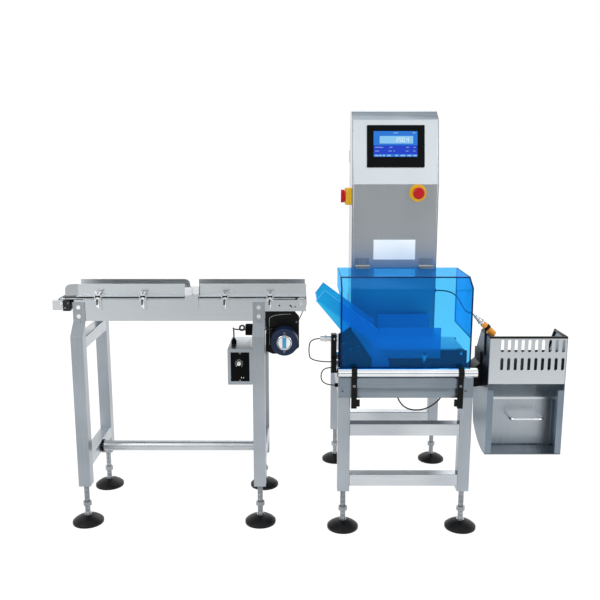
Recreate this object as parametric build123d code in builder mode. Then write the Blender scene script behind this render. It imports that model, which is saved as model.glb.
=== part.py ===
from build123d import *
import math
import os

os.makedirs("parts", exist_ok=True)

# Stock
TUBE = 40.0
BORE = 34.0
PLUG = 12.0
LEG_BOTTOM = 138.0
SEAT = 0.3

# Infeed stand, laid out about the conveyor's centre line
LINE_Y = -106.0
STAND_LEFT = -751.5
STAND_RIGHT = -156.5
STAND_HALF = 150.0
BEND_Z = 661.0
HEAD_TOP = 768.0
SIDE_RAIL_HIGH = 633.0
SIDE_RAIL_LOW = 219.0
TIE_DIA = 36.0

# Infeed conveyor
PLATE = 3.0
CONV_HALF = 123.5
CONV_INNER = CONV_HALF - PLATE
CONV_LEFT = -767.0
CONV_STEP = STAND_RIGHT + TUBE / 2
CONV_TOP = 775.0
PLATE_DEEP = 71.0
CONV_DEEP = CONV_TOP - PLATE_DEEP
CONV_SHALLOW = 737.0
LEG_BOLTS = (CONV_TOP - 24, CONV_DEEP + 16.7)
TAB_FOOT = CONV_DEEP + 38
AXLE_Z = 763.0
TAIL_X = -810.0
DRIVE_X = -16.0
BELT_IN = 16.0
BELT_OUT = 18.0
ROLLER_R = BELT_IN - 0.3
BELT_HALF = 103.0
AXLE_R = 6.0
RUN_FIT = 0.05
BELT_TOP = AXLE_Z + BELT_OUT
BED_TOP = AXLE_Z + BELT_IN - 0.3

# Timing drive
MOTOR_X = -71.0
MOTOR_Z = 644.0
TIMING_OUT = 18.2
TIMING_Y = -216.5
TIMING_WIDE = 10.0
PULLEY_WIDE = 12.0
FLANGE_R = 19.0
MOTOR_R = 44.5
MOTOR_FRONT = -287.5
BRACKET_Y = LINE_Y - CONV_INNER
BRACKET_T = 2.0

# Product guides
GUIDE_Z = 786.5
GUIDE_TOP = 825.0
GUIDE_T = 2.0
GUIDE_FLANGE = 27.0
TRAVEL = 12.0
FRONT_WALL = -206.5
REAR_WALL = -103.5
CLAMPS = (-687.0, -538.6, -268.0, -119.0)
TAB_T = 3.0
TAB_HALF = 12.0
SCREW_R = 3.0
FRONT_SCREW = -226.5
REAR_SCREW = -82.5

# Weigher frame and housing
FRAME_X = (125.0, 525.0)
FRAME_HALF = 292.5
HOUSE_L = FRAME_X[0] - TUBE / 2
HOUSE_R = FRAME_X[1] + TUBE / 2
HOUSE_Y = FRAME_HALF + TUBE / 2
HOUSE_BOTTOM = 465.0
HOUSE_TOP = 532.5

# Weigh deck
RAIL_DIA = 30.0
RAIL_Z = 551.0
RAIL_FRONT = -HOUSE_Y - 2.0
RAIL_REAR = -90.0
SADDLES = (156.0, 502.0)
SADDLE_W = 18.0
SADDLE_BOTTOM = HOUSE_TOP + 1.5
DECK_Z = 549.0
DECK_Y = -150.0
DECK_HALF = 92.0
DECK_PLATE = 4.0
DECK_TOP = 607.0
DECK_L = 121.0
DECK_R = 536.0
WEIGH_IN = 14.5
WEIGH_OUT = 16.0
WEIGH_ROLLER = WEIGH_IN - 0.3
WEIGH_AXLE_Z = 595.0
WEIGH_TAIL = 139.0
WEIGH_DRIVE = 518.0
WEIGH_HALF = 82.0
GUIDE_PLATE = 5.0

# Chute
CHUTE_X = 33.5
CHUTE_Z = 775.0
SLOPE = 36.87
CHUTE_WALL = 45.0
CHUTE_T = 4.0
CHUTE_NEAR = DECK_Y - DECK_HALF - GUIDE_PLATE
CHUTE_FAR = -92.5

# Hood
HOOD_L = 112.0
HOOD_R = 537.0
HOOD_FRONT = -297.5
HOOD_BACK = -34.5
HOOD_BOTTOM = 562.0
HOOD_BEND = 825.0
HOOD_TOP = 855.0
HOOD_T = 4.0
HOOD_FACET = -242.5
EXIT_Z = 660.0
ARCH_Y = -256.0
ARCH_Z = 788.0
PIVOT_Y = -36.5
PIVOT_Z = 860.0
LEAVES = (200.0, 424.0)

# Electrical cabinet
CAB_L = 162.0
CAB_R = 462.0
CAB_FRONT = -30.5
CAB_BACK = 129.5
CAB_TOP = 1400.0
CAB_WALL = 2.0
KNEE_Z = 1146.0
BROW_Y = 12.5
BROW_Z = 1366.0
CREST_Y = 57.5
CREST_Z = 1395.0
PANEL_TILT = math.degrees(math.atan2(BROW_Y - CAB_FRONT, BROW_Z - KNEE_Z))
SCREEN_Z = 1275.0
SCREEN_Y = CAB_FRONT + (SCREEN_Z - KNEE_Z) * math.tan(math.radians(PANEL_TILT))
CAB_MID = (CAB_L + CAB_R) / 2
STOP_X = 390.0
STOP_Z = 1116.0
ISO_Y = 37.5
ISO_Z = 1102.0

# Reject bin
BIN_GAP = 43.0
BIN_WIDE = 250.0
BIN_L = HOUSE_R + BIN_GAP
BIN_R = BIN_L + BIN_WIDE
BIN_FRONT = -328.5
BIN_T = 2.0
BIN_TOP = 673.5
TRIM = 4.0
CREASE_Z = 517.0
POCKET_Y = -253.5
GATE_Z = 284.0
GATE_TOP = 465.0


# Infeed stand
with BuildPart() as stand_posts:
    for leg_x in (STAND_LEFT, STAND_RIGHT):
        for side in (-1, 1):
            near = STAND_HALF - TUBE / 2
            far = STAND_HALF + TUBE / 2
            head = CONV_HALF + PLATE
            skin = PLATE * math.sqrt(2)
            slope = far + BEND_Z
            with BuildSketch(Plane.YZ.offset(leg_x - TUBE / 2)):
                with BuildLine():
                    Polyline(
                        (LINE_Y + side * near, LEG_BOTTOM),
                        (LINE_Y + side * far, LEG_BOTTOM),
                        (LINE_Y + side * far, BEND_Z),
                        (LINE_Y + side * head, slope - head),
                        (LINE_Y + side * head, HEAD_TOP),
                        (LINE_Y + side * CONV_HALF, HEAD_TOP),
                        (LINE_Y + side * CONV_HALF, slope - skin - CONV_HALF),
                        (LINE_Y + side * near, slope - skin - near),
                        close=True,
                    )
                make_face()
            extrude(amount=TUBE)
            inner_near = near + PLATE
            inner_far = far - PLATE
            with BuildSketch(Plane.YZ.offset(leg_x - BORE / 2)):
                with BuildLine():
                    Polyline(
                        (LINE_Y + side * inner_near, LEG_BOTTOM + PLUG),
                        (LINE_Y + side * inner_far, LEG_BOTTOM + PLUG),
                        (LINE_Y + side * inner_far, slope - skin - inner_far),
                        (LINE_Y + side * inner_near, slope - skin - inner_near),
                        close=True,
                    )
                make_face()
            extrude(amount=BORE, mode=Mode.SUBTRACT)
            with BuildSketch(Plane.XY.offset(LEG_BOTTOM)):
                with Locations((leg_x, LINE_Y + side * STAND_HALF)):
                    Circle(8.55)
            extrude(amount=PLUG, mode=Mode.SUBTRACT)
            with BuildSketch(Plane.XZ.offset(-(LINE_Y + side * CONV_HALF))):
                with Locations(*[(leg_x, bolt_z) for bolt_z in LEG_BOLTS]):
                    Circle(4.05)
            extrude(amount=-side * PLATE, mode=Mode.SUBTRACT)

with BuildPart() as stand_rails:
    for leg_x in (STAND_LEFT, STAND_RIGHT):
        for rail_z in (SIDE_RAIL_LOW, SIDE_RAIL_HIGH):
            with BuildSketch(Plane.XZ.offset(-LINE_Y)):
                with Locations((leg_x, rail_z)):
                    RectangleRounded(TUBE, TUBE, 3)
                    RectangleRounded(BORE, BORE, 2, mode=Mode.SUBTRACT)
            extrude(amount=STAND_HALF - TUBE / 2, both=True)
    tie_left = STAND_LEFT + TUBE / 2
    tie_right = STAND_RIGHT - TUBE / 2
    with BuildSketch(Plane.YZ.offset(tie_left)):
        with Locations((LINE_Y, SIDE_RAIL_LOW)):
            Circle(TIE_DIA / 2)
            Circle(TIE_DIA / 2 - 2, mode=Mode.SUBTRACT)
    extrude(amount=tie_right - tie_left)
    for collar_x in (tie_left, tie_right - 8):
        with BuildSketch(Plane.YZ.offset(collar_x)):
            with Locations((LINE_Y, SIDE_RAIL_LOW)):
                Circle(TIE_DIA / 2 + 4)
                Circle(TIE_DIA / 2 - 2, mode=Mode.SUBTRACT)
        extrude(amount=8)

# Levelling feet
FEET = [(x, LINE_Y + s * STAND_HALF) for x in (STAND_LEFT, STAND_RIGHT) for s in (-1, 1)]
FEET += [(x, s * FRAME_HALF) for x in FRAME_X for s in (-1, 1)]
STUD_R = 8.5
PAD_R = 52.5
PAD_H = 28.0

with BuildPart() as pad:
    with BuildSketch(Plane.XZ):
        with BuildLine():
            Polyline((0, 0), (PAD_R, 0), (PAD_R, 7), (PAD_R - 3, 10))
            ThreePointArc((PAD_R - 3, 10), (32, 21.5), (13, PAD_H))
            Polyline((13, PAD_H), (STUD_R + 0.1, PAD_H), (STUD_R + 0.1, 14), (0, 14), (0, 0))
        make_face()
    revolve(axis=Axis.Z)
with BuildPart() as foot_pads:
    with Locations(*[(x, y, 0) for x, y in FEET]):
        add(pad.part)

with BuildPart() as foot_studs:
    with Locations(*[(x, y, 14) for x, y in FEET]):
        Cylinder(STUD_R, LEG_BOTTOM + PLUG - 14, align=(Align.CENTER, Align.CENTER, Align.MIN))
    with Locations(*[(x, y, PAD_H) for x, y in FEET]):
        Cylinder(13, 3, align=(Align.CENTER, Align.CENTER, Align.MIN))
    with BuildSketch(Plane.XY.offset(62)):
        with Locations(*FEET):
            RegularPolygon(14.5, 6)
    extrude(amount=15)

# Conveyor frame
with BuildPart() as conveyor_side_plates:
    for side in (-1, 1):
        with BuildSketch(Plane.XZ.offset(-(LINE_Y + side * CONV_INNER))):
            with BuildLine():
                Polyline(
                    (CONV_LEFT, CONV_DEEP),
                    (CONV_STEP, CONV_DEEP),
                    (CONV_STEP, CONV_SHALLOW),
                    (0, CONV_SHALLOW),
                    (0, CONV_TOP),
                    (CONV_LEFT, CONV_TOP),
                    close=True,
                )
            make_face()
            with Locations((DRIVE_X, AXLE_Z)):
                Circle(AXLE_R + RUN_FIT, mode=Mode.SUBTRACT)
            with Locations(*[(x, z) for x in (STAND_LEFT, STAND_RIGHT) for z in LEG_BOLTS]):
                Circle(4.05, mode=Mode.SUBTRACT)
            with Locations((-48.0, 752.0), (-36.0, 752.0)):
                Circle(2.5, mode=Mode.SUBTRACT)
        extrude(amount=-side * PLATE)

with BuildPart() as conveyor_bed:
    bed_l = TAIL_X + 14
    with BuildSketch(Plane.YZ.offset(bed_l)):
        with Locations((LINE_Y, BED_TOP - 1)):
            Rectangle(2 * CONV_INNER, 2)
    extrude(amount=DRIVE_X - 20 - bed_l)
    for side in (-1, 1):
        with BuildSketch(Plane.YZ.offset(-738)):
            with Locations((LINE_Y + side * (CONV_INNER - 1), (BED_TOP + TAB_FOOT) / 2)):
                Rectangle(2, BED_TOP - TAB_FOOT)
        extrude(amount=608)

with BuildPart() as conveyor_belt:
    with BuildSketch(Plane.XZ.offset(-LINE_Y)):
        with Locations(((TAIL_X + DRIVE_X) / 2, AXLE_Z)):
            SlotCenterToCenter(DRIVE_X - TAIL_X, 2 * BELT_OUT)
            SlotCenterToCenter(DRIVE_X - TAIL_X, 2 * BELT_IN, mode=Mode.SUBTRACT)
    extrude(amount=BELT_HALF, both=True)

pulley_front = TIMING_Y - PULLEY_WIDE / 2
with BuildPart() as drive_roller:
    with BuildSketch(Plane.XZ.offset(-LINE_Y)):
        with Locations((DRIVE_X, AXLE_Z)):
            Circle(ROLLER_R)
    extrude(amount=BELT_HALF, both=True)
    with BuildSketch(Plane.XZ.offset(-LINE_Y)):
        with Locations((DRIVE_X, AXLE_Z)):
            Circle(AXLE_R)
    extrude(amount=CONV_HALF + 2.5, both=True)
    with BuildSketch(Plane.XZ.offset(-pulley_front)):
        with Locations((DRIVE_X, AXLE_Z)):
            Circle(ROLLER_R)
    extrude(amount=-PULLEY_WIDE)
    for rim_y in (pulley_front - 0.8, pulley_front + PULLEY_WIDE):
        with BuildSketch(Plane.XZ.offset(-rim_y)):
            with Locations((DRIVE_X, AXLE_Z)):
                Circle(FLANGE_R)
        extrude(amount=-0.8)

with BuildPart() as tail_roller:
    with BuildSketch(Plane.XZ.offset(-LINE_Y)):
        with Locations((TAIL_X, AXLE_Z)):
            Circle(ROLLER_R)
    extrude(amount=BELT_HALF, both=True)
    with BuildSketch(Plane.XZ.offset(-LINE_Y)):
        with Locations((TAIL_X, AXLE_Z)):
            Circle(AXLE_R)
    extrude(amount=CONV_HALF, both=True)

# Belt tensioners: an open yoke, its guide block and a tongue on the side plate
YOKE_L = -838.0
YOKE_R = -804.0
BLOCK_R = -780.0
YOKE_NEAR = 106.5
YOKE_FAR = 124.5
with BuildPart() as tail_tensioners:
    for side in (-1, 1):
        start = LINE_Y + side * YOKE_NEAR
        deep = side * (YOKE_FAR - YOKE_NEAR)
        with BuildSketch(Plane.XZ.offset(-start)):
            with Locations(((YOKE_L + YOKE_R) / 2, 757.0)):
                Rectangle(YOKE_R - YOKE_L, 32)
            with Locations((TAIL_X, AXLE_Z)):
                Circle(AXLE_R + RUN_FIT, mode=Mode.SUBTRACT)
            with Locations((TAIL_X + 5, AXLE_Z)):
                Rectangle(10, 2 * (AXLE_R + RUN_FIT), mode=Mode.SUBTRACT)
        extrude(amount=-deep)
        with BuildSketch(Plane.XZ.offset(-start)):
            with Locations(((YOKE_R + BLOCK_R) / 2, 755.8)):
                Rectangle(BLOCK_R - YOKE_R, 36)
        extrude(amount=-deep)
        with BuildSketch(Plane.XZ.offset(-(LINE_Y + side * 112.5))):
            with Locations((BLOCK_R + 20, 756.0)):
                Rectangle(40, 22)
        extrude(amount=-side * (CONV_INNER - 112.5))
        with BuildSketch(Plane.YZ.offset(BLOCK_R)):
            with Locations((LINE_Y + side * (CONV_HALF - 2.6), 756.0)):
                Circle(2.6)
        extrude(amount=CONV_LEFT - BLOCK_R)

# Product guides: folded sheets with slotted feet
with BuildPart() as front_infeed_guide:
    guide_l = -798.0
    guide_r = -402.0
    lead = 40.0
    flare = 11.0
    with BuildSketch(Plane.XY.offset(GUIDE_Z)):
        with BuildLine():
            Polyline(
                (guide_r, FRONT_WALL),
                (guide_l + lead, FRONT_WALL),
                (guide_l, FRONT_WALL - flare),
                (guide_l, FRONT_WALL - flare + GUIDE_T),
                (guide_l + lead, FRONT_WALL + GUIDE_T),
                (guide_r, FRONT_WALL + GUIDE_T),
                close=True,
            )
        make_face()
    extrude(amount=GUIDE_TOP - GUIDE_Z)
    with BuildSketch(Plane.XY.offset(GUIDE_Z)):
        with BuildLine():
            Polyline(
                (guide_l + lead, FRONT_WALL),
                (guide_r, FRONT_WALL),
                (guide_r, FRONT_WALL - GUIDE_FLANGE + GUIDE_T),
                (guide_l + lead, FRONT_WALL - GUIDE_FLANGE + GUIDE_T),
                close=True,
            )
        make_face()
        with Locations(*[(x, FRONT_SCREW + TRAVEL / 2) for x in CLAMPS[:2]]):
            SlotOverall(TRAVEL + 6.4, 6.4, rotation=90, mode=Mode.SUBTRACT)
    extrude(amount=GUIDE_T)
    with BuildSketch(Plane.XZ.offset(-FRONT_WALL + flare + 2)):
        with Locations((guide_l + 9, GUIDE_TOP - 9)):
            Rectangle(18, 18)
        with Locations((guide_l + 18, GUIDE_TOP - 18)):
            Circle(18, mode=Mode.SUBTRACT)
    extrude(amount=-20, mode=Mode.SUBTRACT)

with BuildPart() as front_outfeed_guide:
    guide_l = -353.0
    with BuildSketch(Plane.YZ.offset(guide_l)):
        with BuildLine():
            Polyline(
                (FRONT_WALL + GUIDE_T, GUIDE_Z),
                (FRONT_WALL + GUIDE_T, GUIDE_TOP),
                (FRONT_WALL, GUIDE_TOP),
                (FRONT_WALL, GUIDE_Z + GUIDE_T),
                (FRONT_WALL - GUIDE_FLANGE + GUIDE_T, GUIDE_Z + GUIDE_T),
                (FRONT_WALL - GUIDE_FLANGE + GUIDE_T, GUIDE_Z),
                close=True,
            )
        make_face()
    extrude(amount=-guide_l)
    with BuildSketch(Plane.XY.offset(GUIDE_Z)):
        with Locations(*[(x, FRONT_SCREW + TRAVEL / 2) for x in CLAMPS[2:]]):
            SlotOverall(TRAVEL + 6.4, 6.4, rotation=90)
    extrude(amount=GUIDE_T, mode=Mode.SUBTRACT)

with BuildPart() as rear_infeed_guide:
    guide_l = -777.0
    guide_r = -400.0
    with BuildSketch(Plane.YZ.offset(guide_l)):
        with BuildLine():
            Polyline(
                (REAR_WALL, GUIDE_Z),
                (REAR_WALL, GUIDE_TOP),
                (REAR_WALL + GUIDE_T, GUIDE_TOP),
                (REAR_WALL + GUIDE_T, GUIDE_Z + GUIDE_T),
                (REAR_WALL + GUIDE_FLANGE, GUIDE_Z + GUIDE_T),
                (REAR_WALL + GUIDE_FLANGE, GUIDE_Z),
                close=True,
            )
        make_face()
    extrude(amount=guide_r - guide_l)
    with BuildSketch(Plane.XY.offset(GUIDE_Z)):
        with Locations(*[(x, REAR_SCREW - TRAVEL / 2) for x in CLAMPS[:2]]):
            SlotOverall(TRAVEL + 6.4, 6.4, rotation=90)
    extrude(amount=GUIDE_T, mode=Mode.SUBTRACT)
    with BuildSketch(Plane.XZ.offset(-REAR_WALL + 1)):
        with Locations((guide_r - 9, GUIDE_TOP - 9)):
            Rectangle(18, 18)
        with Locations((guide_r - 18, GUIDE_TOP - 18)):
            Circle(18, mode=Mode.SUBTRACT)
    extrude(amount=-4, mode=Mode.SUBTRACT)

with BuildPart() as rear_outfeed_guide:
    guide_l = -369.0
    guide_r = -3.0
    with BuildSketch(Plane.YZ.offset(guide_l)):
        with BuildLine():
            Polyline(
                (REAR_WALL, GUIDE_Z),
                (REAR_WALL, GUIDE_TOP),
                (REAR_WALL + GUIDE_T, GUIDE_TOP),
                (REAR_WALL + GUIDE_T, GUIDE_Z + GUIDE_T),
                (REAR_WALL + GUIDE_FLANGE, GUIDE_Z + GUIDE_T),
                (REAR_WALL + GUIDE_FLANGE, GUIDE_Z),
                close=True,
            )
        make_face()
    extrude(amount=guide_r - guide_l)
    with BuildSketch(Plane.XY.offset(GUIDE_Z)):
        with Locations(*[(x, REAR_SCREW - TRAVEL / 2) for x in CLAMPS[2:]]):
            SlotOverall(TRAVEL + 6.4, 6.4, rotation=90)
    extrude(amount=GUIDE_T, mode=Mode.SUBTRACT)

# Guide carriers on the side plates, and the shelf of the photo eyes
FRONT_FACE = LINE_Y - CONV_HALF
BACK_FACE = LINE_Y + CONV_HALF
EYE_L = -400.0
EYE_R = -355.0
with BuildPart() as guide_brackets:
    for clamp_x in CLAMPS:
        with BuildSketch(Plane.YZ.offset(clamp_x - TAB_HALF)):
            with BuildLine():
                Polyline(
                    (FRONT_FACE, TAB_FOOT),
                    (FRONT_FACE - TAB_T, TAB_FOOT),
                    (FRONT_FACE - TAB_T, GUIDE_Z),
                    (-212, GUIDE_Z),
                    (-212, GUIDE_Z - TAB_T),
                    (FRONT_FACE, GUIDE_Z - TAB_T),
                    close=True,
                )
            make_face()
        extrude(amount=2 * TAB_HALF)
        with BuildSketch(Plane.YZ.offset(clamp_x - TAB_HALF)):
            with BuildLine():
                Polyline(
                    (BACK_FACE, TAB_FOOT),
                    (BACK_FACE + TAB_T, TAB_FOOT),
                    (BACK_FACE + TAB_T, GUIDE_Z),
                    (REAR_WALL + 5, GUIDE_Z),
                    (REAR_WALL + 5, GUIDE_Z - TAB_T),
                    (BACK_FACE, GUIDE_Z - TAB_T),
                    close=True,
                )
            make_face()
        extrude(amount=2 * TAB_HALF)
    with BuildSketch(Plane.XY.offset(GUIDE_Z - TAB_T)):
        with Locations(*[(x, y) for x in CLAMPS for y in (FRONT_SCREW, REAR_SCREW)]):
            Circle(SCREW_R + RUN_FIT)
    extrude(amount=TAB_T, mode=Mode.SUBTRACT)
    with BuildSketch(Plane.YZ.offset(EYE_L)):
        with BuildLine():
            Polyline(
                (FRONT_FACE, 745),
                (FRONT_FACE - TAB_T, 745),
                (FRONT_FACE - TAB_T, GUIDE_Z + GUIDE_T),
                (-207, GUIDE_Z + GUIDE_T),
                (-207, GUIDE_Z),
                (FRONT_FACE, GUIDE_Z),
                close=True,
            )
        make_face()
    extrude(amount=EYE_R - EYE_L)

with BuildPart() as photo_eyes:
    with Locations((EYE_L + 11, -218, GUIDE_Z + GUIDE_T)):
        Box(22, 18, 25, align=(Align.CENTER, Align.CENTER, Align.MIN))
    with Locations((EYE_L + 33.5, -214.5, GUIDE_Z + GUIDE_T)):
        Box(16, 10, 5, align=(Align.CENTER, Align.CENTER, Align.MIN))
    with Locations((EYE_L + 33.5, -214.5, GUIDE_Z + GUIDE_T + 5)):
        Box(23, 16, 25, align=(Align.CENTER, Align.CENTER, Align.MIN))

# Timing drive
with BuildPart() as motor_bracket:
    flange_x = -133.0
    bracket_r = -23.0
    with BuildSketch(Plane.XZ.offset(-BRACKET_Y)):
        with BuildLine():
            Polyline(
                (flange_x, 600),
                (-112, 591),
                (-50, 591),
                (bracket_r, 614),
                (bracket_r, 720),
                (-36, 735),
                (-36, 758),
                (-125, 758),
                (-125, 735),
                (flange_x, 735),
                close=True,
            )
        make_face()
        with Locations((MOTOR_X, MOTOR_Z)):
            Circle(12, mode=Mode.SUBTRACT)
        with Locations((-48.0, 752.0), (-36.0 - 6, 752.0)):
            Circle(2.5, mode=Mode.SUBTRACT)
    extrude(amount=-BRACKET_T)
    with BuildSketch(Plane.XZ.offset(-BRACKET_Y)):
        with Locations((flange_x + 1, 632)):
            Rectangle(2, 66)
    extrude(amount=34)

with BuildPart() as gear_motor:
    with BuildSketch(Plane.XZ.offset(-BRACKET_Y)):
        with Locations((MOTOR_X, MOTOR_Z)):
            Circle(MOTOR_R)
    extrude(amount=BRACKET_Y - MOTOR_FRONT)
    fillet(gear_motor.faces().sort_by(Axis.Y)[0].edges(), radius=4)
    with BuildSketch(Plane.XZ.offset(-MOTOR_FRONT)):
        with Locations((MOTOR_X, MOTOR_Z)):
            Circle(22)
            SlotOverall(36, 14, rotation=90, mode=Mode.SUBTRACT)
    extrude(amount=2)
    with BuildSketch(Plane.XZ.offset(-BRACKET_Y)):
        with Locations((MOTOR_X, MOTOR_Z)):
            Circle(AXLE_R + RUN_FIT)
    extrude(amount=28, mode=Mode.SUBTRACT)

with BuildPart() as motor_pulley:
    with BuildSketch(Plane.XZ.offset(-pulley_front)):
        with Locations((MOTOR_X, MOTOR_Z)):
            Circle(ROLLER_R)
    extrude(amount=-PULLEY_WIDE)
    for rim_y in (pulley_front - 0.8, pulley_front + PULLEY_WIDE):
        with BuildSketch(Plane.XZ.offset(-rim_y)):
            with Locations((MOTOR_X, MOTOR_Z)):
                Circle(FLANGE_R)
        extrude(amount=-0.8)
    with BuildSketch(Plane.XZ.offset(-pulley_front)):
        with Locations((MOTOR_X, MOTOR_Z)):
            Circle(AXLE_R)
    extrude(amount=30)

with BuildPart() as timing_belt:
    rise = AXLE_Z - MOTOR_Z
    across = DRIVE_X - MOTOR_X
    span = math.hypot(rise, across)
    lean = math.degrees(math.atan2(rise, across))
    with BuildSketch(Plane.XZ.offset(-TIMING_Y)):
        with Locations(((MOTOR_X + DRIVE_X) / 2, (MOTOR_Z + AXLE_Z) / 2)):
            SlotCenterToCenter(span, 2 * TIMING_OUT, rotation=lean)
            SlotCenterToCenter(span, 2 * BELT_IN, rotation=lean, mode=Mode.SUBTRACT)
    extrude(amount=TIMING_WIDE / 2, both=True)

# Speed control box on the right front leg
BOX_R = STAND_RIGHT - TUBE / 2
BOX_W = 82.0
BOX_X = BOX_R - BOX_W / 2
BOX_FRONT = -274.5
BOX_BACK = -102.5
BOX_Z = 559.0
BOX_H = 122.0
PANEL_W = 61.0
PANEL_H = 98.0
KNOB_X = -221.0
KNOB_Z = 571.0
ROCKER_X = -209.6
ROCKER_Z = 523.0
ROCKER_Y = -273.0
GLAND_X = -243.0
GLAND_Y = -200.0
with BuildPart() as speed_box:
    with BuildSketch(Plane.XZ.offset(-BOX_FRONT)):
        with Locations((BOX_X, BOX_Z)):
            RectangleRounded(BOX_W, BOX_H, 3)
    extrude(amount=BOX_FRONT - BOX_BACK)
    with BuildSketch(Plane.XZ.offset(-BOX_FRONT - 2)):
        with Locations((BOX_X, BOX_Z)):
            Rectangle(BOX_W - 4, BOX_H - 4)
    extrude(amount=BOX_FRONT - BOX_BACK + 4, mode=Mode.SUBTRACT)
    with BuildSketch(Plane.XZ.offset(-BOX_FRONT)):
        with Locations((BOX_X, BOX_Z)):
            Rectangle(PANEL_W + 0.6, PANEL_H + 0.6)
    extrude(amount=-2, mode=Mode.SUBTRACT)

with BuildPart() as speed_panel:
    with BuildSketch(Plane.XZ.offset(-BOX_FRONT + 0.5)):
        with Locations((BOX_X, BOX_Z)):
            Rectangle(PANEL_W, PANEL_H)
    extrude(amount=-2.5)
    with BuildSketch(Plane.XZ.offset(-BOX_FRONT - 2)):
        with Locations((BOX_X, BOX_Z)):
            Rectangle(PANEL_W + 8, PANEL_H + 8)
    extrude(amount=-2)
    with BuildSketch(Plane.XZ.offset(-BOX_FRONT + 1)):
        with Locations((KNOB_X, KNOB_Z)):
            Circle(3 + RUN_FIT)
        with Locations((ROCKER_X, ROCKER_Z)):
            Rectangle(9.4, 9.6)
    extrude(amount=-6, mode=Mode.SUBTRACT)

with BuildPart() as speed_knob:
    with BuildSketch(Plane.XZ.offset(-BOX_FRONT + 0.6)):
        with Locations((KNOB_X, KNOB_Z)):
            Circle(7)
    extrude(amount=8, taper=6)
    with BuildSketch(Plane.XZ.offset(-BOX_FRONT + 0.6)):
        with Locations((KNOB_X, KNOB_Z)):
            Circle(3)
    extrude(amount=-6)

with BuildPart() as power_rocker:
    with BuildSketch(Plane.XY.offset(ROCKER_Z - 4.5)):
        with Locations((ROCKER_X, ROCKER_Y)):
            Circle(4.4)
        with Locations((ROCKER_X, ROCKER_Y - 4)):
            Rectangle(12, 1.6, rotation=-7)
    extrude(amount=9)

# Cable glands and plug bodies
PLUG_X = BOX_R - 12
PLUG_Y = -237.0
PLUG_Z = 677.0
TUNNEL_Y = -232.5
with BuildPart() as cable_fittings:
    with Locations((GLAND_X, GLAND_Y, BOX_Z + BOX_H / 2)):
        Cylinder(9, 12, align=(Align.CENTER, Align.CENTER, Align.MIN))
        Cylinder(6, 18, align=(Align.CENTER, Align.CENTER, Align.MIN))
    with Locations((PLUG_X, PLUG_Y, PLUG_Z)):
        Box(24, 24, 34)
    with Locations((MOTOR_X - 36, TUNNEL_Y, PLUG_Z)):
        Cylinder(6, 14, rotation=(0, 90, 0))
    with BuildSketch(Plane.XZ.offset(-BRACKET_Y)):
        with Locations((MOTOR_X, MOTOR_Z)):
            Circle(MOTOR_R)
    extrude(amount=40, mode=Mode.SUBTRACT)
    with Locations((100.0, -262.0, 493.0)):
        Cylinder(6.5, 10, rotation=(0, 90, 0))
    with Locations((CAB_R + 7, 37.5, 760.0)):
        Cylinder(7, 14, rotation=(0, 90, 0))

# Weigher stand
with BuildPart() as frame_posts:
    for post_x in FRAME_X:
        for side in (-1, 1):
            with BuildSketch(Plane.XY.offset(LEG_BOTTOM)):
                with Locations((post_x, side * FRAME_HALF)):
                    RectangleRounded(TUBE, TUBE, 3)
            extrude(amount=HOUSE_BOTTOM - LEG_BOTTOM)
            with BuildSketch(Plane.XY.offset(LEG_BOTTOM + PLUG)):
                with Locations((post_x, side * FRAME_HALF)):
                    RectangleRounded(BORE, BORE, 2)
            extrude(amount=HOUSE_BOTTOM - LEG_BOTTOM - PLUG, mode=Mode.SUBTRACT)
            with BuildSketch(Plane.XY.offset(LEG_BOTTOM)):
                with Locations((post_x, side * FRAME_HALF)):
                    Circle(8.55)
            extrude(amount=PLUG, mode=Mode.SUBTRACT)

RAIL_LEVELS = ((-1, 354.0), (-1, 177.0), (1, 354.0), (1, 192.0))
with BuildPart() as frame_rails:
    for side, rail_z in RAIL_LEVELS:
        with BuildSketch(Plane.YZ.offset(FRAME_X[0] + TUBE / 2)):
            with Locations((side * FRAME_HALF, rail_z)):
                RectangleRounded(TUBE, TUBE, 3)
                RectangleRounded(BORE, BORE, 2, mode=Mode.SUBTRACT)
        extrude(amount=FRAME_X[1] - FRAME_X[0] - TUBE)

HOUSE_X = (HOUSE_L + HOUSE_R) / 2
HOUSE_W = HOUSE_R - HOUSE_L
POST_X = 385.0
POST_Y = -180.0
CELL_Z = 474.0
with BuildPart() as weigh_housing:
    with BuildSketch(Plane.XY.offset(HOUSE_BOTTOM)):
        with Locations((HOUSE_X, 0)):
            Rectangle(HOUSE_W, 2 * HOUSE_Y)
    extrude(amount=HOUSE_TOP - HOUSE_BOTTOM)
    with BuildSketch(Plane.XY.offset(HOUSE_BOTTOM + 3)):
        with Locations((HOUSE_X, 0)):
            Rectangle(HOUSE_W - 6, 2 * HOUSE_Y - 6)
    extrude(amount=HOUSE_TOP - HOUSE_BOTTOM - 6, mode=Mode.SUBTRACT)
    with BuildSketch(Plane.XY.offset(HOUSE_BOTTOM)):
        with Locations((HOUSE_X, 0)):
            Rectangle(HOUSE_W - 2 * TUBE, 2 * HOUSE_Y - 2 * TUBE)
    extrude(amount=3, mode=Mode.SUBTRACT)
    with BuildSketch(Plane.XY.offset(HOUSE_BOTTOM + 3)):
        with Locations((HOUSE_X, POST_Y)):
            Rectangle(HOUSE_W - 4, 80)
    extrude(amount=CELL_Z - HOUSE_BOTTOM - 3)
    with BuildSketch(Plane.XY.offset(HOUSE_TOP)):
        with Locations((POST_X, POST_Y)):
            Circle(26)
    extrude(amount=-3, mode=Mode.SUBTRACT)

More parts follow.
